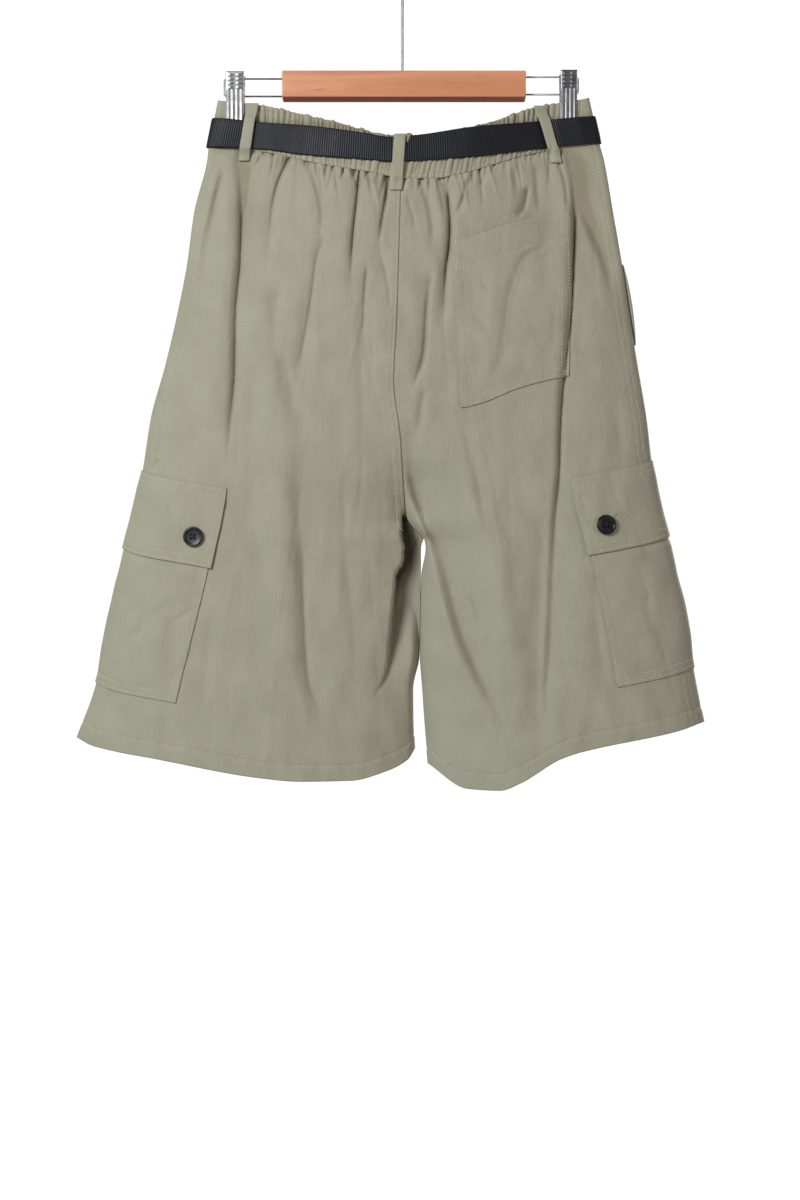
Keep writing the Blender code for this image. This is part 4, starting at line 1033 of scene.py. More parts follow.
@dataclass(frozen=True)
class Cloth(Finish):
    """Crisp washed poplin, in one colour with slight streaks along its threads."""
    name: str = "sage_poplin"
    light: tuple = (0.342, 0.330, 0.254)
    dark: tuple = (0.290, 0.277, 0.211)
    in_folds: tuple = (0.74, 0.665, 0.60)  # painted shade: what the light between two layers leaves of the colour
    between: tuple = (0.16, 0.145, 0.13)   # painted shade deep between the legs
    thread_pitch: float = 0.0007
    crease: float = 0.0016

    def lay_out(self, nodes: Nodes) -> None:
        """Streaks, weave and crinkle, laid along the flat cloth, and shade painted in its creases and between
        the legs.

        Args:
            nodes: The material\'s.
        """
        flat = nodes.flat()
        painted_shade = nodes.add("ShaderNodeAttribute", attribute_name="painted_shade").outputs["Fac"]
        warp = nodes.noise(nodes.scaled(flat, 1.0, 0.05, 1.0), 1100, 2)
        weft = nodes.noise(nodes.scaled(flat, 0.05, 1.0, 1.0), 1100, 2)
        tone = nodes.blend(nodes.blend(warp, weft, 0.35), nodes.noise(flat, 26, 4, 0.6), 0.55)
        colour = nodes.ramp(tone, (0.34, self.dark), (0.66, self.light))
        # painted shade, darker where the painted_shade attribute is higher
        shade = nodes.ramp(painted_shade, (0.0, WHITE), (0.5, self.in_folds), (1.0, self.between))
        bands = WAVE_SPAN / self.thread_pitch
        weave = nodes.maths("MULTIPLY", *[nodes.wave(flat, bands, way, 0.4, 3.0) for way in "XY"])
        slubs = nodes.maths("ADD", warp, weft)
        waves = nodes.noise(nodes.scaled(flat, 1.0, 0.45, 1.0), 34, 3, 0.6, 0.8)
        crinkles = nodes.noise(nodes.scaled(flat, 1.0, 0.5, 1.0), 95, 4, 0.62, 0.9)
        fine = nodes.noise(nodes.scaled(flat, 1.0, 0.65, 1.0), 300, 3, 0.6, 0.4)
        streaks = nodes.noise(nodes.scaled(flat, 1.0, 0.09, 1.0), 150, 4, 0.6, 0.3)
        nodes.relief((waves, 0.0034, 0.2), (streaks, 0.0008, 0.35), (crinkles, self.crease, 0.42),
                     (fine, 0.0006, 0.5), (slubs, 0.00014, 0.5), (weave, 0.00007, 0.35))
        nodes.set(Base_Color=nodes.mixed(1.0, colour, shade, "MULTIPLY"), Roughness=0.74, Sheen_Weight=0.12,
                  Sheen_Roughness=0.45, Specular_IOR_Level=0.35)


@dataclass(frozen=True)
class Thread(Finish):
    """Sewing thread, twisted and a little shinier than the cloth."""
    name: str = "sage_thread"
    colour: tuple = (0.56, 0.54, 0.43)
    dark: tuple = (0.45, 0.43, 0.335)
    sheen: float = 0.2

    def lay_out(self, nodes: Nodes) -> None:
        """Twist by fine slanting bands.

        Args:
            nodes: The material\'s.
        """
        twist = nodes.wave(nodes.place(), 260, "DIAGONAL", 0.5)
        nodes.relief((twist, 0.0001, 0.5))
        nodes.set(Base_Color=nodes.ramp(twist, (0.2, self.dark), (0.8, self.colour)), Roughness=0.55,
                  Sheen_Weight=self.sheen)


@dataclass(frozen=True)
class Webbing(Finish):
    """Black satin webbing with fine ribs across it."""
    name: str = "black_webbing"
    light: tuple = (0.0105, 0.0105, 0.0140)
    dark: tuple = (0.0045, 0.0045, 0.0065)
    rib_pitch: float = 0.0022

    def lay_out(self, nodes: Nodes) -> None:
        """Ribs across the strap, with a soft satin gloss.

        Args:
            nodes: The material\'s.
        """
        flat = nodes.flat()
        ribs = nodes.wave(flat, WAVE_SPAN / self.rib_pitch, "X", 0.25, 2.0)
        yarn = nodes.noise(nodes.scaled(flat, 0.2, 1.0, 1.0), 1400, 2)
        patchy = nodes.noise(flat, 30, 3, 0.6)
        colour = nodes.ramp(nodes.blend(ribs, yarn, 0.3), (0.32, self.dark), (0.68, self.light))
        nodes.relief((patchy, 0.0006, 0.3), (ribs, 0.0004, 0.5), (yarn, 0.0001, 0.5))
        nodes.set(Base_Color=colour, Roughness=nodes.spread(patchy, 0.30, 0.70), Specular_IOR_Level=0.25,
                  Specular_Tint=(0.88, 0.92, 1.0, 1.0))


@dataclass(frozen=True)
class Horn(Finish):
    """Glossy near-black button plastic, faintly streaked like horn."""
    name: str = "dark_button"
    light: tuple = (0.011, 0.013, 0.020)
    dark: tuple = (0.003, 0.003, 0.005)

    def lay_out(self, nodes: Nodes) -> None:
        """Swirled dark streaks under a clear gloss.

        Args:
            nodes: The material\'s.
        """
        place = nodes.place()
        swirl = nodes.noise(nodes.scaled(place, 1.0, 1.0, 2.4), 170, 4, 0.6, 1.6)
        nodes.relief((nodes.noise(place, 900, 3), 0.00005, 0.4))
        nodes.set(Base_Color=nodes.ramp(swirl, (0.35, self.dark), (0.7, self.light)), Roughness=0.30,
                  Specular_IOR_Level=0.35, Coat_Weight=0.1, Coat_Roughness=0.18)


@dataclass(frozen=True)
class Wood(Finish):
    """Cherry wood, its grain along X, lacquered."""
    name: str = "cherry_wood"
    pale: tuple = (0.655, 0.286, 0.150)
    deep: tuple = (0.510, 0.200, 0.096)
    fleck: tuple = (0.265, 0.085, 0.040)
    under: tuple = (1.0, 0.60, 0.42)     # painted shade: the under side is darker

    def lay_out(self, nodes: Nodes) -> None:
        """Slow bands, fine pores and a few dark flecks along the grain, and shade painted on the under side.

        Args:
            nodes: The material\'s.
        """
        place = nodes.place()
        rings = nodes.noise(nodes.scaled(place, 0.06, 1.0, 1.0), 75, 3, 0.5, 1.2)
        bands = nodes.ramp(rings, (0.32, self.deep), (0.62, self.pale))
        pores = nodes.noise(nodes.scaled(place, 0.03, 1.0, 1.0), 1300, 3, 0.6)
        grained = nodes.mixed(0.22, bands, nodes.ramp(pores, (0.42, self.deep), (0.56, self.pale)))
        specks = nodes.noise(nodes.scaled(place, 0.05, 1.0, 1.0), 620, 2, 0.5)
        where = nodes.ramp(specks, (0.68, (0, 0, 0)), (0.74, (0.7, 0.7, 0.7)))
        # painted shade on the faces that look down
        normal = nodes.add("ShaderNodeNewGeometry").outputs["Normal"]
        up = nodes.add("ShaderNodeSeparateXYZ", Vector=normal).outputs["Z"]
        facing_up = nodes.maths("ADD", nodes.maths("MULTIPLY", up, 0.5), 0.5)
        painted_underside_shade = nodes.ramp(facing_up, (0.1, self.under), (0.4, WHITE))
        colour = nodes.mixed(1.0, nodes.mixed(where, grained, self.fleck), painted_underside_shade, "MULTIPLY")
        nodes.relief((rings, 0.0003, 0.2), (pores, 0.00008, 0.5))
        nodes.set(Base_Color=colour, Roughness=0.42, Coat_Weight=0.12, Coat_Roughness=0.3)


@dataclass(frozen=True)
class Metal(Finish):
    """Plated steel with faint handling marks."""
    name: str = "bright_nickel"
    colour: tuple = (0.40, 0.405, 0.415)
    shade: tuple = (0.30, 0.305, 0.315)
    rough: float = 0.38
    uneven: float = 0.14

    def lay_out(self, nodes: Nodes) -> None:
        """Clouded plating with fine scratches.

        Args:
            nodes: The material\'s.
        """
        place = nodes.place()
        colour = nodes.ramp(nodes.noise(place, 120, 3), (0.35, self.shade), (0.65, self.colour))
        scratch = nodes.noise(nodes.scaled(place, 1.0, 1.0, 0.12), 2600, 2)
        nodes.relief((scratch, 0.000006, 0.4))
        nodes.set(Base_Color=colour, Roughness=nodes.spread(scratch, self.rough, self.rough + self.uneven),
                  Metallic=1.0)


@dataclass(frozen=True)
class Floor(Finish):
    """Plain pale studio floor."""
    name: str = "pale_floor"
    colour: tuple = (0.86, 0.86, 0.86)
    reach: float = 1.9

    def lay_out(self, nodes: Nodes) -> None:
        """One pale tone with the least unevenness, fading out at the rim.

        Args:
            nodes: The material\'s.
        """
        place = nodes.place()
        pale = tuple(0.97 * c for c in self.colour)
        out = nodes.add("ShaderNodeTexGradient", gradient_type="SPHERICAL",
                        Vector=nodes.scaled(place, 1 / self.reach, 1 / self.reach, 0.0))
        nodes.set(Base_Color=nodes.ramp(nodes.noise(place, 3, 2), (0.3, pale), (0.7, self.colour)),
                  Alpha=nodes.ramp(out.outputs["Fac"], (0.02, (0, 0, 0)), (0.45, WHITE)), Roughness=0.9)


CLOTH, THREAD, WEBBING, HORN, WOOD, NICKEL = Cloth(), Thread(), Webbing(), Horn(), Wood(), Metal()
BLACK_THREAD = Thread("black_thread", (0.014, 0.014, 0.018), (0.004, 0.004, 0.006), 0.0)
# a darker copy of the nickel, for the right clip
DARKER_NICKEL = Metal("darker_nickel", (0.22, 0.222, 0.235), (0.15, 0.15, 0.16), 0.36)
STEEL_WIRE = Metal("steel_wire", (0.34, 0.345, 0.35), (0.25, 0.255, 0.26), 0.40)


class Slot(Enum):
    """Names of material slots."""
    CLOTH = "sage_cloth"
    WEBBING = "black_webbing"
    HORN = "dark_button"
    WOOD = "cherry_wood"
    NICKEL = "bright_nickel"


def dress(thing: Thing, slot: Slot, *nodes: str) -> Thing:
    """Fix a piece to the garment and hide the solids that it stands for.

    Args:
        thing: The piece.
        slot: Not used.
        nodes: The solids that it replaces.

    Returns:
        The piece.
    """
    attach(thing, "root")
    if nodes:
        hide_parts(*nodes)
    LOG.info("%s: %d faces", thing.name, len(thing.data.polygons))
    return thing


# ---- sewing

@dataclass
class Surface:
    """The outer side of a piece: points and outward directions in rows and columns."""
    points: Grid
    outs: Grid

    def read(self, columns: Grid, rows: Grid) -> tuple[Grid, Grid]:
        """Points and directions between the grid's own.

        Args:
            columns: Column numbers, whole or between.
            rows: Row numbers.

        Returns:
            Points and directions.
        """
        high = np.array(self.points.shape[:2]) - 1
        r, c = np.clip(rows, 0, high[0] - 1e-6), np.clip(columns, 0, high[1] - 1e-6)
        i, j = r.astype(int), c.astype(int)
        a, b = (r - i)[:, None], (c - j)[:, None]
        found = [lerp(lerp(grid[i, j], grid[i, j + 1], b), lerp(grid[i + 1, j], grid[i + 1, j + 1], b), a)
                 for grid in (self.points, self.outs)]
        return found[0], unit(found[1])


@dataclass(frozen=True)
class Stitching:
    """The shape of one stitch, and its spacing."""
    pitch: float = 3.3
    length: float = 2.4
    width: float = 0.85
    height: float = 0.50
    sink: float = 0.12
    shoulder: float = 0.6      # width of its top, of its foot's
    faces: tuple = ((0, 2, 1), (0, 3, 2), (0, 4, 3), (0, 1, 4), (1, 2, 6, 5), (2, 3, 7, 6), (3, 4, 8, 7),
                    (4, 1, 5, 8), (5, 6, 9), (6, 7, 9), (7, 8, 9), (8, 5, 9))

    def row(self, points: Grid, outs: Grid) -> list[tuple]:
        """The stitches of one row.

        Args:
            points: Points of the line, on the cloth.
            outs: Directions out of the cloth there.

        Returns:
            (points, faces) of each stitch.
        """
        steps = np.linalg.norm(np.diff(points, axis=0), axis=1)
        run = np.concatenate([[0.0], np.cumsum(steps)])
        count = int(run[-1] / self.pitch)
        made = []
        for k in range(count):
            start = (k + 0.5) * run[-1] / count - self.length / 2
            at = start + self.length * np.array([0.0, 0.22, 0.78, 1.0])
            spine, out = [np.stack([np.interp(at, run, grid[:, i]) for i in range(3)], axis=-1)
                          for grid in (points, outs)]
            out = unit(out)
            across = unit(np.cross(spine[-1] - spine[0], out[0])) * self.width / 2
            low, high = spine - out * self.sink, spine + out * self.height
            body = [low[0]]
            for j in (1, 2):
                body += [low[j] + across, high[j] + across * self.shoulder,
                         high[j] - across * self.shoulder, low[j] - across]
            made.append((np.array([*body, low[3]]), self.faces))
        return made


STITCHING = Stitching()


class Seams:
    """Collects the stitch rows of one piece and makes them one mesh."""

    def __init__(self, name: str, surface: Surface) -> None:
        """Start with no rows."""
        self.name, self.surface = name, surface
        self.parts: list[tuple] = []

    def line(self, columns: Sequence, rows: Sequence) -> None:
        """Sew through places, by their column and row numbers, whole or between."""
        self.parts += STITCHING.row(*self.surface.read(np.asarray(columns, float), np.asarray(rows, float)))

    def level(self, start: float, end: float, row: float, count: int) -> None:
        """Sew along a row, from one column to another, through so many places."""
        self.line(np.linspace(start, end, count), np.full(count, row))

    def finish(self) -> Thing:
        """Make the mesh and fix it to the garment."""
        return dress(joined(self.name, self.parts, THREAD), Slot.CLOTH)


def column_at(shares: Grid, wanted: Grid) -> Grid:
    """Column numbers at which each row of shares reaches a wanted share."""
    numbers = np.arange(shares.shape[1])
    return np.array([np.interp(w, row, numbers) for row, w in zip(shares, wanted)])


# ---- panels

WAIST_STEPS = tuple(np.arange(0, 46, 1.7))
HEM_STEPS = (0, 0.5, 1.2, 2.4, 4.5, 7, 9.5, 12, 13.4, 14.2, 15, 15.8, 16.6, 18, 20, 22.5)
CENTRE_STEPS = (0, 0.35, 0.8, 1.3, 1.9, 2.4, 2.8, 3.2, 4.0, 5.0, 5.9, 6.4, 6.9, 7.6, 8.0, 8.6, 9.4, 10.6)
SIDE_STEPS = (0, 0.04, 0.15, 0.4, 0.8, 1.4, 2.2, 3.4, 4.8, 6.2, 7.0, 7.5, 8.0, 9.2, 10.6, 12, 13, 14, 15.5)


@dataclass
class Panel:
    """Back or front of one leg and hip."""
    side: Side
    face: Face
    wall: float = 0.9
    hem_turn: float = 15.0        # the hem is turned up by this and sewn
    hem_wall: float = 0.7         # the turned layer adds this inside
    seam_rows: tuple = (2.8, 6.4)  # topstitch beside the centre seam, on the left
    strip: float = 8.6            # width of the seam allowance that they hold
    crotch_row: float = 1.9       # topstitch along the edge of the right leg under the crotch
    side_rows: tuple = (7.5, 13.0)  # topstitch before the side seam
    pitch: tuple = (1.35, 3.4)    # columns and rows of the mesh

    def build(self) -> None:
        """Make the panel and its sewing."""
        side, face = self.side, self.face
        sign = side * face
        rows = spaced(GARMENT.length, WAIST_STEPS, HEM_STEPS, self.pitch[1])[0]
        width = GARMENT.width(side, rows)
        t = spaced(width, CENTRE_STEPS, SIDE_STEPS, self.pitch[0])
        v = np.broadcast_to(rows[:, None], t.shape)
        points, flat = GARMENT.laid(side, face, t, v)
        across, level = flat[..., 0], flat[..., 1]
        from_hem = (1 - v) * GARMENT.length
        lift = self.relief(from_hem, t * width[:, None], (1 - t) * width[:, None], level)
        outer = points + directions(points, sign) * lift[..., None]
        wall = self.wall + self.hem_wall * smooth((self.hem_turn + 0.5 - from_hem) / 1.5)
        inner = points - directions(points, sign, 8) * wall[..., None]
        inner[..., 1] = face * np.maximum(face * inner[..., 1], GAP / 2)
        toward = np.maximum if side == Side.RIGHT else np.minimum
        above = (rows <= GARMENT.crotch_v)[:, None]
        inner[..., 0] = np.where(above, toward(inner[..., 0], outer[:, :1, 0]), inner[..., 0])
        name = f"{face.word}_{side.word}"
        shell = Shell(outer, inner, sign)
        thing, surface = shell.sewn_on(f"cloth_{name}", name, flat, self.added_painted_shade(across, level))
        sewing = self.sew(name, surface, t, rows, width)

    def added_painted_shade(self, across: Grid, level: Grid) -> Grid:
        """Painted shade: the share of the light lost between the legs, in the gathers and beside the belt.

        Args:
            across: Places across.
            level: And their levels.

        Returns:
            One share for each place.
        """
        dent = pressed(GARMENT.folds[self.face], across, level, self.side)
        # painted shade deep between the legs, in the deepest gathers near the waist, and the belt's painted
        # shadow
        legs = smooth((dent - 7) / 12) * (1 - smooth((level - 535) / 85))
        gathers = 0.34 * smooth((dent - 1.2) / 4.5) * (1 - smooth((level - 190) / 130))
        return legs + gathers + WAIST.belt_shade(across, level)

    def relief(self, from_hem: Grid, from_centre: Grid, from_side: Grid, level: Grid) -> Grid:
        """How far sewing raises and draws in the cloth.

        Args:
            from_hem: Distance of each point from the hem.
            from_centre: From the centre seam or inseam.
            from_side: From the side seam.
            level: Its level.

        Returns:
            Its lift.
        """
        pucker = 0.22 * np.sin(from_centre / 2.6 + 1.3 * np.sin(from_centre / 17)) * (from_hem < 30)
        lift = -0.5 * bump(from_hem - self.hem_turn, 0.9) + 0.35 * smooth((14 - from_hem) / 2)
        lift += pucker * bump(from_hem - self.hem_turn, 7.0)
        above = level < GARMENT.crotch_level
        if self.side == Side.LEFT:
            for row in self.seam_rows:
                lift -= 0.35 * bump(from_centre - row, 0.8) * above
            lift += 0.85 * smooth((self.strip - from_centre) / 0.8) * above
        lift += (0.3 if self.side == Side.LEFT else -0.2) * bump(from_centre - 0.9, 0.8) * above
        lift -= 0.15 * bump(from_centre, 0.5) * above
        wavering = 0.25 * np.sin(level / 3.1 + 1.1 * np.sin(level / 13))
        lift += wavering * bump(from_centre - 4, 4.0) * above
        for row in self.side_rows:
            lift -= 0.3 * bump(from_side - row, 0.8)
        return lift

    def sew(self, name: str, surface: Surface, t: Grid, rows: Grid, width: Grid) -> Thing:
        """Topstitch the hem, the side and, on the left, the centre seam.

        Args:
            name: The panel's name.
            surface: Its outer side.
            t: Shares of its columns in each row.
            rows: v of each row.
            width: Its width at each row.

        Returns:
            The stitches.
        """
        seams = Seams(f"sewing_{name}", surface)
        numbers = np.arange(len(rows))
        hem_row = np.interp(-self.hem_turn, -(1 - rows) * GARMENT.length, numbers)
        seams.level(0.5, t.shape[1] - 1.5, hem_row, 400)
        crotch = GARMENT.crotch_v
        lines = [(0.01, 0.54, 1 - row / width) for row in self.side_rows]
        if self.side == Side.LEFT:
            lines += [(0.01, crotch - 0.05, row / width) for row in self.seam_rows]
        elif self.face == Face.BACK:
            lines.append((crotch - 0.05, crotch + 0.04, self.crotch_row / width))
        for start, end, shares in lines:
            keep = numbers[(rows > start) & (rows < end)]
            seams.line(column_at(t, shares)[keep], keep)
        return seams.finish()


# ---- pieces on the panels

class Edge(NamedTuple):
    """What is sewn along an edge of a piece: distances of its rows from it."""
    near: float
    far: float


def edge_steps(edge: Edge, reach: float = 12.0) -> tuple:
    """Distances of mesh lines from a sewn edge: close together at its rows.

    Args:
        edge: The rows.
        reach: Where the even mesh takes over.

    Returns:
        Rising distances.
    """
    steps = {0.0, 0.3, 0.8, reach}
    for row in edge:
        steps |= {row - 1.1, row - 0.5, row, row + 0.5, row + 1.1}
    return tuple(sorted(step for step in steps if 0 <= step <= reach))


def sewn_relief(distance: Grid, edge: Edge, along: Grid) -> Grid:
    """Lift of cloth beside a sewn edge.

    Args:
        distance: From the edge.
        edge: Its rows.
        along: Distance along the edge, for the pucker.

    Returns:
        The lift.
    """
    lift = np.zeros(np.broadcast(distance, along).shape)
    for row in edge:
        lift -= 0.2 * bump(distance - row, 0.7)
    lift += 0.12 * bump(distance, edge.far * 0.7)
    pucker = np.sin(along / 2.3 + 1.5 * np.sin(along / 19))
    return lift + 0.13 * pucker * bump(distance - edge.near, 5.0)


@dataclass
class RearPocket:
    """Patch pocket on the wearer's right."""
    top: float = 0.105
    foot: float = 0.378
    wall: float = 0.7
    hem_row: float = 28.0
    edge: Edge = Edge(2.6, 9.0)
    pitch: float = 1.4
    fullness: float = 2.4
    creases: tuple = (
        Fold(2.4, 7, 13, 2.0, 15, 40, ((147, 240), (121, 262), (114, 279), (107, 305), (104, 340),
             (92, 382))),
        Fold(1.3, 3, 7, 1.8, 6, 6, ((147, 252), (136, 258), (124, 266))),
        Fold(1.1, 3, 7, 1.8, 8, 12, ((44, 264), (56, 272), (66, 290), (72, 306))),
        Fold(1.0, 4, 3, 1.8, 6, 6, ((74, 276), (81, 285), (88, 298))),
        Fold(1.1, 4, 6, 1.8, 5, 8, ((64, 314), (76, 321), (88, 338))),
        Fold(1.4, 7, 3, 1.7, 15, 30, ((159, 238), (163, 270), (160, 312))),
        Fold(1.0, 4, 6, 1.8, 10, 15, ((150, 300), (154, 325), (148, 352))),
        Fold(1.1, 4, 5, 1.6, 8, 15, ((136, 216), (143, 230), (141, 252))),
        Fold(0.9, 8, 6, 1.8, 12, 20, ((72, 340), (78, 364), (74, 392))),
        Fold(-0.8, 8, 8, 1.8, 20, 30, ((92, 262), (90, 300), (86, 350))),
        Fold(0.8, 7, 9, 1.8, 12, 20, ((128, 330), (124, 356), (128, 384))),
    )

    def build(self) -> None:
        """Make the pocket and its sewing."""
        side, face = Side.RIGHT, Face.BACK
        height = (self.foot - self.top) * GARMENT.length
        steps = edge_steps(self.edge)
        head_steps = edge_steps(Edge(0.9, self.hem_row), self.hem_row + 2)
        down = spaced(height, head_steps, steps, self.pitch)[0]
        v = lerp(self.top, self.foot, down)
        start, end = line_down(PATCH_INNER)(v), line_down(PATCH_OUTER)(v)
        width = (end - start) * GARMENT.width(side, v)
        s = spaced(width, steps, steps, self.pitch)
        t = lerp(start[:, None], end[:, None], s)
        rows = np.broadcast_to(v[:, None], t.shape)
        points, flat = GARMENT.laid(side, face, t, rows)
        outs = directions(points, side * face, 6)
        from_left, from_right = s * width[:, None], (1 - s) * width[:, None]
        from_top, from_foot = (rows - self.top) * GARMENT.length, (self.foot - rows) * GARMENT.length
        inset = np.minimum(np.minimum(from_left, from_right), from_foot)
        puff = self.fullness * smooth(inset / 45)
        body = np.maximum(puff - pressed(self.creases, flat[..., 0], flat[..., 1]), 0.15 * puff)
        sewn = sewn_relief(from_left, self.edge, from_top) + sewn_relief(from_foot, self.edge, from_left)
        sewn += sewn_relief(from_right, self.edge, from_top)
        sewn -= 0.3 * bump(from_top - self.hem_row, 0.8)
        lift = GAP + self.wall + 0.2 + np.maximum(body + sewn, -0.2)
        outer, inner = lifted(points, outs, lift, self.wall)
        thing, surface = Shell(outer, inner, side * face).sewn_on("patch_pocket", "rear_pocket", flat)
        sewing = self.sew(surface, s, width, down * height, height)

    def sew(self, surface: Surface, s: Grid, width: Grid, down: Grid, height: float) -> Thing:
        """Topstitch the pocket.

        Args:
            surface: Its outer side.
            s: Shares of its columns in each row.
            width: Its width at each row.
            down: Distance of each row from the top.
            height: Its height.

        Returns:
            The stitches.
        """
        seams = Seams("sewing_patch_pocket", surface)
        numbers = np.arange(len(down))
        for row in self.edge:
            keep = numbers[down < height - row]
            flanks = column_at(s, row / width), column_at(s, 1 - row / width)
            for flank in flanks:
                seams.line(flank[keep], keep)
            level = np.interp(height - row, down, numbers)
            seams.level(*[flank[int(level)] for flank in flanks], level, 120)
        seams.level(2, s.shape[1] - 3, np.interp(self.hem_row, down, numbers), 160)
        return seams.finish()


def lifted(points: Grid, outs: Grid, lift: Grid, wall: float) -> tuple[Grid, Grid]:
    """Outer and inner points of cloth that lies on a panel, thinner where the panel is too near."""
    return points + outs * lift[..., None], points + outs * np.maximum(lift - wall, GAP)[..., None]


@dataclass
class Lay:
    """Where a piece lies that runs round the side seam."""
    points: Grid
    outs: Grid
    along: Grid        # from its back edge, round it
    down: Grid         # from its top
    girth: Grid        # of each row
    height: float


@dataclass
class Wrapped:
    """A piece that runs from the back, round the side seam, to the front."""
    side: Side
    edges: dict
    top: float
    foot: float
    margin: Edge = Edge(2.5, 9.0)
    pitch: float = 1.7
    round_steps: tuple = (0, 0.04, 0.15, 0.4, 0.8, 1.4, 2.2, 3.4, 5.0)
    top_sewn: bool = False

    def lay(self) -> Lay:
        """Lay the whole piece on the panels.

        Returns:
            Where it lies.
        """
        height = (self.foot - self.top) * GARMENT.length
        steps = edge_steps(self.margin)
        down = spaced(height, steps, steps, self.pitch)[0]
        v = lerp(self.top, self.foot, down)
        halves = []
        for face in Face:
            start = line_down(self.edges[(face, self.side)])(v)
            width = (1 - start) * GARMENT.width(self.side, v)
            s = spaced(width, steps, self.round_steps, self.pitch)
            t = lerp(start[:, None], 1.0, s)
            points, _ = GARMENT.laid(self.side, face, t, np.broadcast_to(v[:, None], t.shape))
            halves.append((points, s * width[:, None], width))
        (back, back_along, back_width), (front, front_along, front_width) = halves
        back[:, -1, 1] = 0.0
        girth = back_width + front_width
        points = np.concatenate([back, front[:, -2::-1]], axis=1)
        along = np.concatenate([back_along, girth[:, None] - front_along[:, -2::-1]], axis=1)
        from_top = np.broadcast_to((down * height)[:, None], along.shape)
        return Lay(points, directions(points, -self.side, 5), along, from_top, girth, height)

    def margin_relief(self, lay: Lay) -> Grid:
        """Lift beside the piece's sewn edges.

        Args:
            lay: Where it lies.

        Returns:
            The lift.
        """
        lift = sewn_relief(lay.along, self.margin, lay.down)
        lift += sewn_relief(lay.girth[:, None] - lay.along, self.margin, lay.down)
        lift += sewn_relief(lay.height - lay.down, self.margin, lay.along)
        if self.top_sewn:
            lift += sewn_relief(lay.down, self.margin, lay.along)
        return lift

    def make(self, lay: Lay, outer: Grid, inner: Grid, name: str, node: str) -> tuple[Thing, Thing]:
        """Make the piece and topstitch its edges.

        Args:
            lay: Where it lies.
            outer: Its outer points.
            inner: Its inner points.
            name: Its name, without its side.
            node: The solid's, too.

        Returns:
            The piece and its stitches.
        """
        word = self.side.word
        flat = np.stack([lay.along, lay.down], axis=-1)
        thing, surface = Shell(outer, inner, -self.side).sewn_on(f"{name}_{word}", f"{node}_{word}", flat)
        seams = Seams(f"sewing_{name}_{word}", surface)
        down, numbers = lay.down[:, 0], np.arange(len(lay.down))
        columns = np.arange(lay.along.shape[1])
        for row in self.margin:
            for level in (lay.height - row, row)[:1 + self.top_sewn]:
                place = np.interp(level, down, numbers)
                i = int(place)
                seams.level(*np.interp([row, lay.girth[i] - row], lay.along[i], columns), place, 200)
            start = row if self.top_sewn else 1.0
            rows = np.linspace(*np.interp([start, lay.height - row], down, numbers), 80)
            whole = rows.astype(int)
            for places in (np.full(len(down), row), lay.girth - row):
                seams.line([np.interp(places[i], lay.along[i], columns) for i in whole], rows)
        return thing, seams.finish()


@dataclass
class CargoPocket(Wrapped):
    """Body of a cargo pocket."""
    wall: float = 0.7
    fullness: float = 1.9
    under_flap: float = 58.0      # the flap covers this much of it

    def build(self) -> None:
        """Make the pocket and its sewing."""
        lay = self.lay()
        inset = np.minimum(lay.along, lay.girth[:, None] - lay.along)
        inset = np.minimum(inset, lay.height - lay.down)
        puff = self.fullness * smooth((inset - 4) / 34)
        body = np.maximum(puff + self.slants(lay.along, lay.down) * smooth((inset - 4) / 14), 0.0)
        flat_lift = GAP + self.wall + 0.15
        lift = flat_lift + np.maximum(body + self.margin_relief(lay), -0.15)
        lift = lerp(lift, np.minimum(lift, flat_lift), smooth((self.under_flap + 8 - lay.down) / 8))
        outer, inner = lifted(lay.points, lay.outs, lift, self.wall)
        thing, sewing = self.make(lay, outer, inner, "cargo_body", "cargo_pocket")

    @staticmethod
    def slants(along: Grid, down: Grid) -> Grid:
        """Slanting creases of a pocket that hangs empty.

        Args:
            along: Distances round the pocket.
            down: And down it.

        Returns:
            A lift for each place, below 0.
        """
        first = bump(along - 20 - 0.55 * down, 9) * bump(down - 70, 55)
        second = bump(along - 62 - 0.35 * down, 12) * bump(down - 55, 45)
        third = bump(along - 118 + 0.40 * down, 12) * bump(down - 60, 50)
        return -1.2 * first - 1.0 * second - 1.1 * third


@dataclass
class CargoFlap(Wrapped):
    """Flap over a cargo pocket."""
    wall: float = 0.8
    over_pocket: float = 1.45     # how far its inner side stands off the panel, over the pocket
    top_sewn: bool = True

    def build(self) -> None:
        """Make the flap and its sewing."""
        lay = self.lay()
        lift = lerp(GAP, self.over_pocket, smooth(lay.down / 18)) + self.wall
        foot = 0.5 * smooth((26 - (lay.height - lay.down)) / 20)
        lift = lift + np.maximum(self.margin_relief(lay), -0.2) + 0.2 + foot
        outer = lay.points + lay.outs * lift[..., None]
        thing, sewing = self.make(lay, outer, outer - lay.outs * self.wall, "cargo_lid", "cargo_flap")


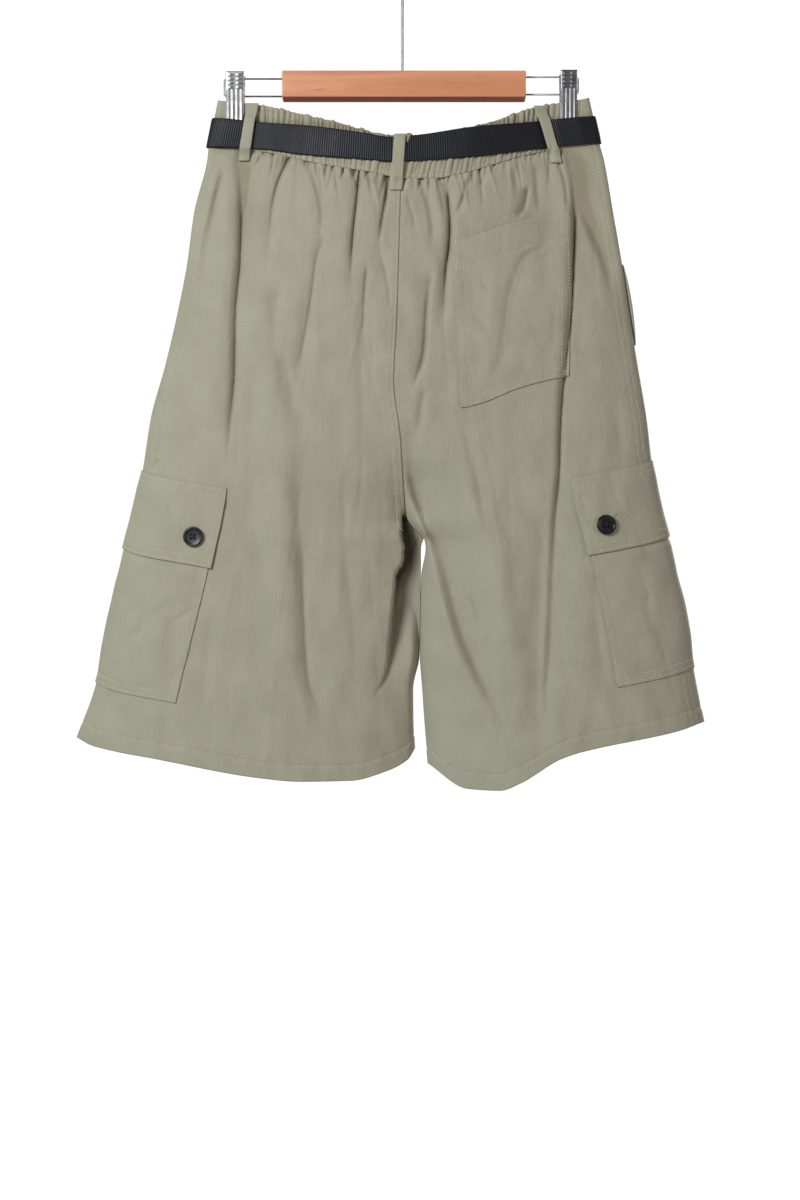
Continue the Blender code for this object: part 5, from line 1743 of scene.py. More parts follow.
@dataclass
class SlashPocket:
    """Edge of a slash pocket on the front, beside the side seam."""
    side: Side
    gape: float
    width: float = 26.0
    top: float = 0.21
    foot: float = 0.349
    wall: float = 1.0
    slit: float = 0.3             # how far the turned edge gapes from the seam
    clear: float = 1.2            # of the side seam, where it doesn't gape
    near_steps: tuple = (0, 0.4, 1.0, 2.0, 3.0, 4.0)
    far_steps: tuple = (0, 0.04, 0.15, 0.4, 0.8, 1.4, 2.2, 3.4, 5.0, 7.0)
    rows: tuple = (2.5, 8.0)

    def build(self) -> None:
        """Make the pocket's edge and its sewing."""
        v = np.linspace(self.top, self.foot, 64)
        down = (v - self.top) / (self.foot - self.top)
        s = spaced(np.full(len(v), self.width), self.near_steps, self.far_steps, 1.5)
        clear = 0.0 if self.gape else self.clear
        t = 1 - (clear + (1 - s) * self.width) / GARMENT.width(self.side, v)[:, None]
        points, flat = GARMENT.laid(self.side, Face.FRONT, t, np.broadcast_to(v[:, None], t.shape))
        outs = directions(points, self.side, 4)
        if self.gape:
            points[:, -1, 1] = 0.0
        stand = self.gape * (1 - (2 * down - 1) ** 2)[:, None] * s ** 2
        outer = points + outs * (GAP + stand + self.wall)[..., None]
        inner = points + outs * (GAP + np.minimum(stand, self.slit))[..., None]
        word = self.side.word
        shell = Shell(outer, inner, self.side)
        thing, surface = shell.sewn_on(f"slash_edge_{word}", f"slash_pocket_{word}", flat)
        seams = Seams(f"sewing_slash_edge_{word}", surface)
        for row in self.rows:
            columns = column_at(s, np.full(len(v), 1 - row / self.width))
            seams.line(columns[2:-2], np.arange(len(v))[2:-2])
        sewing = seams.finish()


# ---- waistband, belt and loops

@dataclass(frozen=True)
class Waist:
    """The clipped waist that the casing, the belt and the loops lie on."""
    casing: float = 2.4
    casing_height: float = 44.0
    belt_level: float = 125.0
    belt_width: float = 28.0
    belt_thick: float = 1.6
    belt_clear: float = 1.0
    belt_over_clip: float = 1.7
    clip_hump: float = 23.0
    clip_fade: float = 6.0
    belt_edges: tuple = (
        ((-194, 118.5), (-140.5, 123.4), (-97.5, 126.3), (-40.5, 133.5), (-11.5, 137.8), (17.5, 135.5),
         (74.5, 127.3), (131.5, 122.8), (197, 116.5)),
        ((-194, 147.5), (-140.5, 149.3), (-97.5, 155), (-40.5, 159.3), (-11.5, 161.6), (17.5, 160.7),
         (74.5, 156.4), (131.5, 149.3), (197, 143.0)),
    )

    def half(self, share: Grid, level: float | dict) -> Grid:
        """Half width on the side of each share, at a level or at one for each side."""
        levels = level if isinstance(level, dict) else {side: level for side in Side}
        return np.where(np.asarray(share) < 0, *[GARMENT.half_width[side](levels[side]) for side in Side])

    def place(self, face: Face, share: Grid, drop: Grid) -> Grid:
        """Points of the casing's outer side.

        Args:
            face: Back or front.
            share: From -1 at the left side to 1 at the right.
            drop: From 0 at its top to 1 at its seam.

        Returns:
            The points.
        """
        top_half = self.half(share, GARMENT.waist_level)
        seam_half = self.half(share, GARMENT.side_head)
        top_across, seam_across = share * top_half, share * seam_half
        across = lerp(top_across, seam_across, drop)
        level = lerp(GARMENT.waist_top(top_across), GARMENT.waist_seam(seam_across) - GAP, drop)
        depth = GARMENT.clipped_depth(across, lerp(top_half, seam_half, drop))
        return GARMENT.true_place(face, across, level, depth)

    def out(self, face: Face, share: Grid, drop: Grid) -> Grid:
        """Directions out of the casing, level.

        Args:
            face: Back or front.
            share: As for place().
            drop: As for place().

        Returns:
            One direction for each place.
        """
        step = 0.002
        ahead = self.place(face, np.minimum(share + step, 1.0), drop)
        behind = self.place(face, np.maximum(share - step, -1.0), drop)
        return unit(np.cross(ahead - behind, DOWN) * face)

    def under_clip(self, across: Grid) -> Grid:
        """1 where a jaw holds the cloth flat, 0 clear of it."""
        near = np.minimum.reduce([np.maximum(clip.low - across, across - clip.high) for clip in CLIPS])
        return 1 - smooth(near / self.clip_fade)

    def belt_lift(self, across: Grid) -> Grid:
        """How far the belt's inner side stands off the casing: more over the clips' jaws.

        Args:
            across: Places across.

        Returns:
            One lift for each place.
        """
        middle = np.minimum.reduce([np.abs(across - clip.middle) for clip in CLIPS])
        flat = CLIPS[0].wide / 2 + 1.0
        return self.belt_clear + self.belt_over_clip * (1 - smooth((middle - flat) / (self.clip_hump - flat)))

    def belt_shade(self, across: Grid, level: Grid) -> Grid:
        """Share of the light that the belt keeps off the cloth beside it."""
        off = np.maximum(self.belt_edge(0, across) - level, level - self.belt_edge(1, across))
        return 0.40 * np.exp(-np.maximum(off, 0.0) / 2.8)

    def belt_edge(self, which: int, across: Grid) -> Grid:
        """Level of the belt's upper (0) or lower (1) edge."""
        return curve_through(self.belt_edges[which])(across)


class Clip(NamedTuple):
    """A clip and the wire that carries it."""
    side: Side
    low: float
    high: float
    top: float
    wire_top: float
    wire_bottom: float
    wire_end: float

    @property
    def wide(self) -> float:
        """Its width."""
        return self.high - self.low

    @property
    def middle(self) -> float:
        """Across of its middle."""
        return (self.low + self.high) / 2


CLIPS = (
    Clip(Side.LEFT, -175.8, -158.0, 74.0, 79.0, 96.5, 179.0),
    Clip(Side.RIGHT, 157.6, 174.0, 72.5, 77.2, 94.6, 176.5),
)
WAIST = Waist()


@dataclass
class Casing:
    """Half of the waistband: a folded casing, gathered by its elastic on the back."""
    face: Face
    gathers: int = 74
    start: float = -158.0
    end: float = 186.0
    height: float = 1.95
    pitch: float = 0.75
    front_pitch: float = 3.0
    seam_row: float = 2.6         # stitches above the seam

    def __post_init__(self) -> None:
        """Lay the edges of the gathers: all of different width, and none quite upright."""
        chance = np.random.default_rng(23)
        bounds = []
        for _ in range(2):
            widths = chance.lognormal(0.0, 0.36, self.gathers)
            steps = np.concatenate([[0.0], np.cumsum(widths)]) / widths.sum()
            bounds.append(lerp(self.start, self.end, steps))
        self.top_bounds, self.seam_bounds = bounds[0], lerp(bounds[0], bounds[1], 0.5)

    def build(self) -> None:
        """Make the casing and its sewing."""
        face, thick = self.face, WAIST.casing
        sides = np.array([1.0, 0.9997, 0.999, 0.997, 0.993, 0.988, 0.982])
        count = round(2 * 183 / (self.pitch if face == Face.BACK else self.front_pitch))
        share = np.concatenate([-sides, np.linspace(-0.977, 0.977, count), sides[::-1]])[None, :]
        drops = np.concatenate([[1.0, 0.985, 0.965, 0.945, 0.92], np.linspace(0.88, 0.04, 17)])
        radius = thick / 2
        rows = [(drop, 0.0, 0.0) for drop in drops]
        rows += [(0.03, radius * (math.cos(a) - 1), radius * math.sin(a))
                 for a in np.linspace(0, math.pi, 7)[1:-1]]
        rows += [(drop, -thick, 0.0) for drop in (*drops[::-1][::3], 1.0)]
        grid, slit_shade = [], []
        for drop, sink, rise in rows:
            at = np.full_like(share, drop)
            place, out = WAIST.place(face, share, at)[0], WAIST.out(face, share, at)[0]
            ripple, slit = self.ruffle(drop, place[:, 0])
            inside = smooth(-sink / radius - 0.6)
            stand = sink + lerp(ripple, -0.4 * ripple, inside) + self.relief(drop) * (1 - inside)
            point = place + out * stand[:, None]
            point[:, 2] += rise + (0.45 * ripple if rise > 0 else 0.0)
            point[:, 1] = face * np.maximum(face * point[:, 1], GAP / 2)
            grid.append(point)
            slit_shade.append(slit * (1 - inside))
        points = np.array(grid)
        name = f"casing_{face.word}"
        thing = self.closed(name, points, np.array(slit_shade))
        outside = points[:len(drops)][::-1]
        seams = Seams(f"sewing_{name}", Surface(outside, directions(outside, face)))
        row = np.interp(-self.seam_row, (drops[::-1] - 1) * WAIST.casing_height, np.arange(len(drops)))
        seams.level(8, points.shape[1] - 9, row, 900)
        sewing = seams.finish()
        dress(thing, Slot.CLOTH, f"waistband_{face.word}")

    def ruffle(self, drop: float, across: Grid) -> tuple[Grid, Grid]:
        """How far the gathers stand out, and the shade painted in the slits between them.

        Args:
            drop: Row of the casing.
            across: Places along it.

        Returns:
            Their stand, in millimetres, and the painted slit shade: 1 in a slit, 0 clear of one.
        """
        if self.face == Face.FRONT:
            return np.zeros_like(across), np.zeros_like(across)
        bounds = lerp(self.top_bounds, self.seam_bounds, drop)
        bounds = bounds + 0.5 * np.sin(5.0 * drop + 2.3 * np.arange(len(bounds)))
        cell = np.clip(np.searchsorted(bounds, across) - 1, 0, len(bounds) - 2)
        wide = bounds[cell + 1] - bounds[cell]
        share = np.clip((across - bounds[cell]) / wide, 0.0, 1.0)
        crest = np.minimum(wide / 5.0, 1.5) * (0.75 + 0.25 * np.sin(4.0 * drop + 1.7 * cell))
        wave = 1.5 * np.sin(math.pi * share) ** 0.5 * crest - 0.9
        on = smooth((across - self.start) / 8) * smooth((182 - across) / 6)
        on = on * (1 - WAIST.under_clip(across))
        slit = bump(np.minimum(share, 1 - share) * wide, 0.55)
        slit = slit * (0.3 + 0.7 * np.sin(2.6 * cell + 5.0 * drop) ** 2)
        return self.height * wave * on * lerp(1.15, 0.5, drop), slit * on

    def relief(self, drop: float) -> float:
        """Lift of the row beside the casing's sewing."""
        from_seam = (1 - drop) * WAIST.casing_height
        return float(-0.12 * bump(from_seam - self.seam_row, 0.9) - 0.15 * bump(from_seam, 0.6))

    def closed(self, name: str, points: Grid, slit_shade: Grid) -> Thing:
        """A tube-like mesh: its rows run round the casing, its ends are capped.

        Args:
            name: The piece's name.
            points: Its rows of points.
            slit_shade: Painted shade, 1 for each point in a slit, 0 clear of one.

        Returns:
            The object.
        """
        numbers = np.arange(slit_shade.size).reshape(slit_shade.shape)
        faces = [*grid_faces(np.vstack([numbers, numbers[:1]])), numbers[::-1, 0], numbers[:, -1]]
        quads = [face[::-self.face].tolist() for face in faces]
        level = -points[..., 2]
        flat = np.stack([points[..., 0], level, 0 * level], axis=-1)
        # painted shade: in the gathers' creases, in their slits and beside the belt
        deep = 2.0 * painted_crease_shade(points, directions(points, -self.face)) + 0.5 * slit_shade
        deep = np.minimum(deep + WAIST.belt_shade(points[..., 0], level - MARK), 0.85)
        return add_mesh(name, points.reshape(-1, 3), quads, CLOTH, flat.reshape(-1, 3) * MILLIMETRE, deep)


@dataclass
class Belt:
    """Webbing belt, from one end inside the buckle right round to the other."""
    butt: float = 0.0008
    steps: int = 190
    turn_steps: tuple = (0.0, 0.0003, 0.001, 0.003, 0.007, 0.012, 0.018)
    rows: tuple = (0.0, 0.02, 0.05, 0.1, 0.25, 0.5, 0.75, 0.9, 0.95, 0.98, 1.0)

    def build(self) -> None:
        """Make the belt."""
        half = np.concatenate([1 - np.array(self.turn_steps), np.linspace(0.977, self.butt, self.steps)])
        route = [(Face.FRONT, -s) for s in half[::-1]] + [(Face.BACK, -s) for s in half[1:]]
        route += [(Face.BACK, s) for s in half[:0:-1]] + [(Face.FRONT, s) for s in half]
        sections = np.array([self.section(face, share) for face, share in route])
        outer, inner = sections.transpose(1, 2, 0, 3)
        run = np.concatenate([[0.0], np.cumsum(np.linalg.norm(np.diff(outer[3], axis=0), axis=1))])
        wide = np.linspace(0, WAIST.belt_width, len(self.rows))
        flat = np.stack(np.broadcast_arrays(run[None, :], wide[:, None]), axis=-1)
        thing = dress(Shell(outer, inner, 1, 0.4).build("strap", WEBBING, flat), Slot.WEBBING, "belt")

    def section(self, face: Face, share: float) -> tuple[Grid, Grid]:
        """Points down the belt at one place.

        Args:
            face: Back or front.
            share: Place across.

        Returns:
            Its outer and inner points, from upper edge to lower.
        """
        share = np.array([share])
        across = share * WAIST.half(share, WAIST.belt_level)
        top = GARMENT.waist_top(share * WAIST.half(share, GARMENT.waist_level))
        seam = GARMENT.waist_seam(share * WAIST.half(share, GARMENT.side_head))
        places, outs = [], []
        for which in (0, 1):
            drop = (WAIST.belt_edge(which, across) - top) / (seam - top)
            place, out = WAIST.place(face, share, drop)[0], WAIST.out(face, share, drop)[0]
            if abs(share[0]) == 1.0:
                place[1] = 0.0
                out = np.array([share[0], 0.0, 0.0])
            places.append(place)
            outs.append(out)
        down = np.array(self.rows)[:, None]
        place, out = lerp(*places, down), unit(lerp(*outs, down))
        lift = float(WAIST.belt_lift(across)[0])
        selvedge = -0.18 * (bump(down, 0.05) + bump(1 - down, 0.05))
        return place + out * (lift + WAIST.belt_thick + selvedge), place + out * lift


class LoopPlace(NamedTuple):
    """A belt loop: its face, and the middle of its upper and lower end."""
    name: str
    face: Face
    top_across: float
    top_level: float
    foot_across: float
    foot_level: float


@dataclass
class Loops:
    """Belt loops, sewn at both ends and standing over the belt."""
    width: float = 11.0
    thick: float = 1.5
    crown: float = 0.35
    tack: float = 3.2             # rows of the mesh from each end to its bar tack
    side_steps: tuple = (0, 0.3, 0.9, 1.6)
    places: tuple = (
        LoopPlace("loop_back_left", Face.BACK, -149.2, 104, -158.8, 161),
        LoopPlace("loop_back_centre", Face.BACK, -2.5, 134.4, -6.2, 190),
        LoopPlace("loop_back_right", Face.BACK, 136.3, 106.5, 153.8, 163),
        LoopPlace("loop_front_left", Face.FRONT, -120.0, 107, -124.0, 163),
        LoopPlace("loop_front_right", Face.FRONT, 120.0, 110.5, 124.0, 165),
    )

    def build(self) -> None:
        """Make every loop with its bar tacks."""
        for place in self.places:
            self.one(place)

    def surface(self, face: Face, across: Grid, level: Grid) -> Grid:
        """Points of the outside, on the casing or the panel below it.

        Args:
            face: Back or front.
            across: Places across.
            level: And their levels.

        Returns:
            The points.
        """
        points = np.zeros((*across.shape, 3))
        on_casing = level < GARMENT.waist_seam(across)
        for side in Side:
            depth = np.where(on_casing, GARMENT.clipped_depth(across, GARMENT.half_width[side](level)),
                             GARMENT.depth(side, face, across, level))
            mine = (across < GARMENT.centre_seam(level)) == (side == Side.LEFT)
            points = np.where(mine[..., None], GARMENT.true_place(face, across, level, depth), points)
        return points

    def lift(self, loop: LoopPlace) -> Curve:
        """How far the loop's inner side stands off the cloth, by level.

        Args:
            loop: Where it is sewn.

        Returns:
            A function of level, highest over the belt.
        """
        edges = np.array([-0.5, 0.5]) * self.width
        lower = lerp(loop.top_across, loop.foot_across, 0.7)
        belt = WAIST.belt_lift(np.concatenate([loop.top_across + edges, lower + edges]))
        over = float(np.max(belt)) + WAIST.belt_thick + 2 * GAP
        high = float(WAIST.belt_edge(0, loop.top_across))
        low = float(WAIST.belt_edge(1, loop.foot_across))
        return curve_through([
            (loop.top_level, 0.95), (lerp(loop.top_level, high, 0.45), 1.3), (high - 1.0, over),
            (lerp(high, low, 0.5), over + 0.35), (low + 1.5, over), (lerp(low, loop.foot_level, 0.6), 1.9),
            (loop.foot_level - 2, 1.25), (loop.foot_level, 1.2),
        ])

    def one(self, loop: LoopPlace) -> None:
        """Make a loop.

        Args:
            loop: Where it is sewn.
        """
        span = loop.foot_level - loop.top_level
        level = loop.top_level + span * spaced(span, (0, 0.4, 1.0, 2.0), (0, 0.4, 1.0, 2.0, 3.0), 1.1)[0]
        wide = spaced(self.width, self.side_steps, self.side_steps, 1.1)[0] - 0.5
        middle = lerp(loop.top_across, loop.foot_across, (level - loop.top_level) / span)
        across = middle[:, None] + wide[None, :] * self.width
        levels = np.broadcast_to(level[:, None], across.shape)
        base = softened(self.surface(loop.face, across, levels), 3)
        slope = self.surface(loop.face, across + 3, levels) - self.surface(loop.face, across - 3, levels)
        outs = softened(unit(np.cross(slope, DOWN) * loop.face), 6)
        lift = self.lift(loop)(level)[:, None]
        crown = self.crown * (1 - (2 * wide) ** 4)[None, :]
        outer = base + outs * (lift + self.thick + crown - self.crown)[..., None]
        shell = Shell(outer, base + outs * lift[..., None], loop.face)
        thing, surface = shell.sewn_on(f"tab_{loop.name}", loop.name, np.stack([across, levels], axis=-1))
        seams = Seams(f"tack_{loop.name}", surface)
        for row in (self.tack, len(level) - 1 - self.tack):
            seams.level(2, len(wide) - 3, row, 30)
        sewing = seams.finish()


@dataclass
class Buckle:
    """Plain sleeve round the belt's two ends."""
    half_width: float = 22.0
    half_height: float = 18.0
    wall: float = 1.5
    slack: float = 0.4
    waist_half: float = 190.0
    rounding: float = 0.35

    def build(self) -> None:
        """Make the sleeve with rounded edges."""
        level = MARK + float((WAIST.belt_edge(0, 0.0) + WAIST.belt_edge(1, 0.0)) / 2)
        base = GARMENT.clipped_depth(0.0, self.waist_half)
        inside = float(base) + GAP / 2 + float(WAIST.belt_lift(np.array(0.0)))
        near, far = inside - GAP - self.slack, inside + WAIST.belt_thick + GAP
        skins = ((near, far + self.wall, self.half_height),
                 (near + self.slack, far, self.half_height - self.wall))
        shape = bmesh.new()
        rings = []
        for across in np.linspace(-1, 1, 25) * self.half_width:
            dip = float(GARMENT.clipped_depth(across, self.waist_half) - base)
            rings.append([[shape.verts.new((across, y + dip, -level + z))
                           for y, z in ((low, reach), (high, reach), (high, -reach), (low, -reach))]
                          for low, high, reach in skins])
        bands = [(here[k], after[k]) for here, after in zip(rings, rings[1:]) for k in (0, 1)]
        for one, other in [*bands, rings[0], rings[-1]]:
            for k in range(4):
                shape.faces.new((one[k - 1], one[k], other[k], other[k - 1]))
        bmesh.ops.recalc_face_normals(shape, faces=shape.faces)
        thing = from_shape("sleeve", shape, NICKEL, 50)
        rounding = thing.modifiers.new("rounding", "BEVEL")
        rounding.width = self.rounding * MILLIMETRE
        rounding.segments = 2
        rounding.limit_method = "ANGLE"
        rounding.angle_limit = math.radians(40)
        dress(thing, Slot.NICKEL, "belt_buckle")


# ---- buttons

class ButtonPlace(NamedTuple):
    """A flap button: where it lies on the flap."""
    name: str
    side: Side
    face: Face
    t: float
    v: float


@dataclass
class Buttons:
    """Four-hole flap buttons with raised rims, sewn with crossed thread."""
    radius: float = 9.9
    thick: float = 3.2
    rim: float = 1.9
    dish: float = 0.95
    hole: float = 1.05
    pitch: float = 2.0
    lift: float = 3.4
    spread: float = 0.03          # of t and v, for its tilt
    lean: float = 128.0           # of the left buttonholes, in degrees
    offset: float = 4.5           # of a buttonhole's middle from the button's
    reach: float = 11.0           # half a buttonhole's length
    flanks: tuple = (0.25, 1.7)   # its stitches lie between these, from its slit
    stitches: int = 46
    places: tuple = (
        ButtonPlace("button_left_back", Side.LEFT, Face.BACK, 0.775, 0.636),
        ButtonPlace("button_left_front", Side.LEFT, Face.FRONT, 0.775, 0.636),
        ButtonPlace("button_right_back", Side.RIGHT, Face.BACK, 0.769, 0.637),
        ButtonPlace("button_right_front", Side.RIGHT, Face.FRONT, 0.769, 0.637),
    )

    def blank(self) -> bpy.types.Mesh:
        """Turn and drill a button.

        Returns:
            Its mesh in metres, its back at Z = 0.
        """
        r, top, low = self.radius, self.thick, self.thick - self.dish
        lip = r - self.rim
        profile = [(0, 0), (r * 0.72, 0.0), (r * 0.84, 0.25), (r * 0.94, 0.8), (r - 0.12, 1.3), (r, 1.75),
                   (r - 0.1, top - 0.75), (r - 0.4, top - 0.3), (r - 0.85, top - 0.05), (r - 1.3, top),
                   (lip, top - 0.12), (lip - 0.45, low + 0.3), (lip - 1.0, low + 0.06), (lip - 1.8, low),
                   (3.8, low - 0.06), (0, low - 0.12)]
        body = add_mesh("button_blank", *turned(profile, 48), HORN)
        rod, quads = turned([(0, -2), (self.hole, -2), (self.hole, top + 2), (0, top + 2)], 16)
        drills = [(rod + np.array([x, y, 0.0]) * self.pitch, quads) for x in (-1, 1) for y in (-1, 1)]
        drill = joined("button_drill", drills, HORN)
        cut = body.modifiers.new("holes", "BOOLEAN")
        cut.object = drill
        cut.operation = "DIFFERENCE"
        bpy.context.view_layer.update()
        mesh = bpy.data.meshes.new_from_object(body.evaluated_get(bpy.context.evaluated_depsgraph_get()))
        for thing in (body, drill):
            bpy.data.objects.remove(thing)
        mesh.shade_smooth()
        mesh.set_sharp_from_angle(angle=math.radians(38))
        return mesh

    def build(self) -> None:
        """Make the buttons, their thread and their buttonholes."""
        mesh = self.blank()
        for place in self.places:
            t = place.t + self.spread * np.array([[0, 1, -1, 0, 0]])
            v = place.v + self.spread * np.array([[0, 0, 0, 1, -1]])
            centre, outer, inner, lower, upper = GARMENT.laid(place.side, place.face, t, v)[0][0]
            out = unit(np.cross(outer - inner, lower - upper) * place.side * place.face)
            for piece, slot, *nodes in (
                (placed(f"disc_{place.name}", mesh), Slot.HORN, place.name),
                (self.thread(place), Slot.HORN),
                (self.buttonhole(place), Slot.CLOTH),
            ):
                piece.rotation_mode = "QUATERNION"
                piece.rotation_quaternion = Vector(out).to_track_quat("Z", "Y")
                piece.location = Vector((centre + out * self.lift) * MILLIMETRE)
                dress(piece, slot, *nodes)

    def thread(self, place: ButtonPlace) -> Thing:
        """Cross the thread over a button, with its shank under it.

        Args:
            place: Which button.

        Returns:
            The thread.
        """
        top = self.thick - self.dish + 0.15
        share = np.linspace(-1, 1, 9)
        height = top + 0.75 * (1 - share ** 4) - 1.0 * (np.abs(share) > 0.9)
        parts = []
        for sign in (-1, 1):
            for shift in (-0.3, 0.3):
                x, y = share * self.pitch + shift, sign * share * self.pitch - sign * shift
                parts.append(swept(np.stack([x, y, height], axis=-1), 0.3, 6))
        parts.append(swept(np.array([[0.0, 0.0, -1.6], [0.0, 0.0, 0.3]]), 1.5, 12))
        return joined(f"thread_{place.name}", parts, BLACK_THREAD)

    def buttonhole(self, place: ButtonPlace) -> Thing:
        """Sew close stitches round the slit that leans out from under a button.

        Args:
            place: Which button.

        Returns:
            The stitches.
        """
        lean = math.radians(self.lean if place.side == Side.LEFT else 180 - self.lean)
        ahead = np.array([math.cos(lean), math.sin(lean)])
        aside = np.array([-ahead[1], ahead[0]])
        near, far = self.flanks
        parts = []
        for along in lerp(-self.reach, self.reach, np.arange(self.stitches) / (self.stitches - 1)):
            middle = ahead * self.offset + ahead * along
            for flank in (-1, 1):
                ends = middle + aside * near * flank, middle + aside * far * flank
                parts.append(swept(np.array([[*ends[0], -0.75], [*ends[1], -0.78]]), 0.24, 5))
        return joined(f"buttonhole_{place.name}", parts, THREAD)


# ---- hanger

@dataclass
class Hanger:
    """Wooden bar, hook, wires and clips."""
    low: float = -120.0
    high: float = 123.0
    top: float = 73.2
    bottom: float = 99.8
    depth: float = 20.0
    edge: float = 1.3
    hook_wire: float = 1.5
    hook_bend: float = 22.0
    wire: float = 0.9
    corner: float = 3.0
    socket: float = 15.0

    def build(self) -> None:
        """Make every piece of the hanger."""
        self.bar()
        self.hook()
        for clip in CLIPS:
            self.wires(clip)
            ClipPiece(clip).build()

    def bar(self) -> None:
        """The wooden bar, its edges eased."""
        size = (self.high - self.low, self.depth, self.bottom - self.top)
        middle = ((self.low + self.high) / 2, 0.0, -(MARK + (self.top + self.bottom) / 2))
        shape = bmesh.new()
        bmesh.ops.create_cube(shape, size=1.0)
        bmesh.ops.scale(shape, vec=size, verts=shape.verts)
        bmesh.ops.bevel(shape, geom=shape.edges, offset=self.edge, segments=4, profile=0.55, affect="EDGES")
        bmesh.ops.translate(shape, vec=middle, verts=shape.verts)
        dress(from_shape("bar", shape, WOOD, 30), Slot.WOOD, "hanger_bar")

    def hook(self) -> None:
        """The hook: an upright shank, a swan neck and a round bend."""
        neck = [(0, 0.0, -(MARK + self.top + self.socket))]
        neck += [(x, 0.0, rise - MARK) for x, rise in ((0, -40), (0, -20), (0, 2), (1.2, 7), (4.6, 12))]
        turn = np.radians(np.linspace(-55, 205, 60))
        centre = self.hook_wire - self.hook_bend
        bend = [self.hook_bend * np.cos(turn), 0 * turn, centre + self.hook_bend * np.sin(turn)]
        bend = np.stack(bend, axis=-1)
        tip = bend[-1] + (bend[-1] - bend[-2]) * 0.3
        path = np.vstack([neck, bend, tip])
        radius = np.full(len(path), self.hook_wire)
        radius[-1] *= 0.6
        thing = dress(joined("hook", [swept(path, radius, 20)], STEEL_WIRE), Slot.NICKEL, "hanger_hook")
        thing.data.set_sharp_from_angle(angle=math.radians(50))

    def wires(self, clip: Clip) -> None:
        """A wire frame: two legs out of the bar and a square bend.

        Args:
            clip: The clip that it carries.
        """
        start = self.low + self.socket if clip.side == Side.LEFT else self.high - self.socket
        x = clip.side * (clip.wire_end - self.wire) - clip.side * self.corner
        upper, lower = -(MARK + clip.wire_top), -(MARK + clip.wire_bottom)
        turns = np.linspace(0, math.pi / 2, 9)
        path = [(start, 0.0, upper)]
        path += [(x + clip.side * self.corner * math.sin(a), 0.0, upper - self.corner * (1 - math.cos(a)))
                 for a in turns]
        path += [(x + clip.side * self.corner * math.cos(a), 0.0, lower + self.corner * (1 - math.sin(a)))
                 for a in turns]
        path.append((start, 0.0, lower))
        thing = joined(f"wire_{clip.side.word}", [swept(np.array(path), self.wire, 14)], STEEL_WIRE)
        dress(thing, Slot.NICKEL, f"hanger_wire_{clip.side.word}")


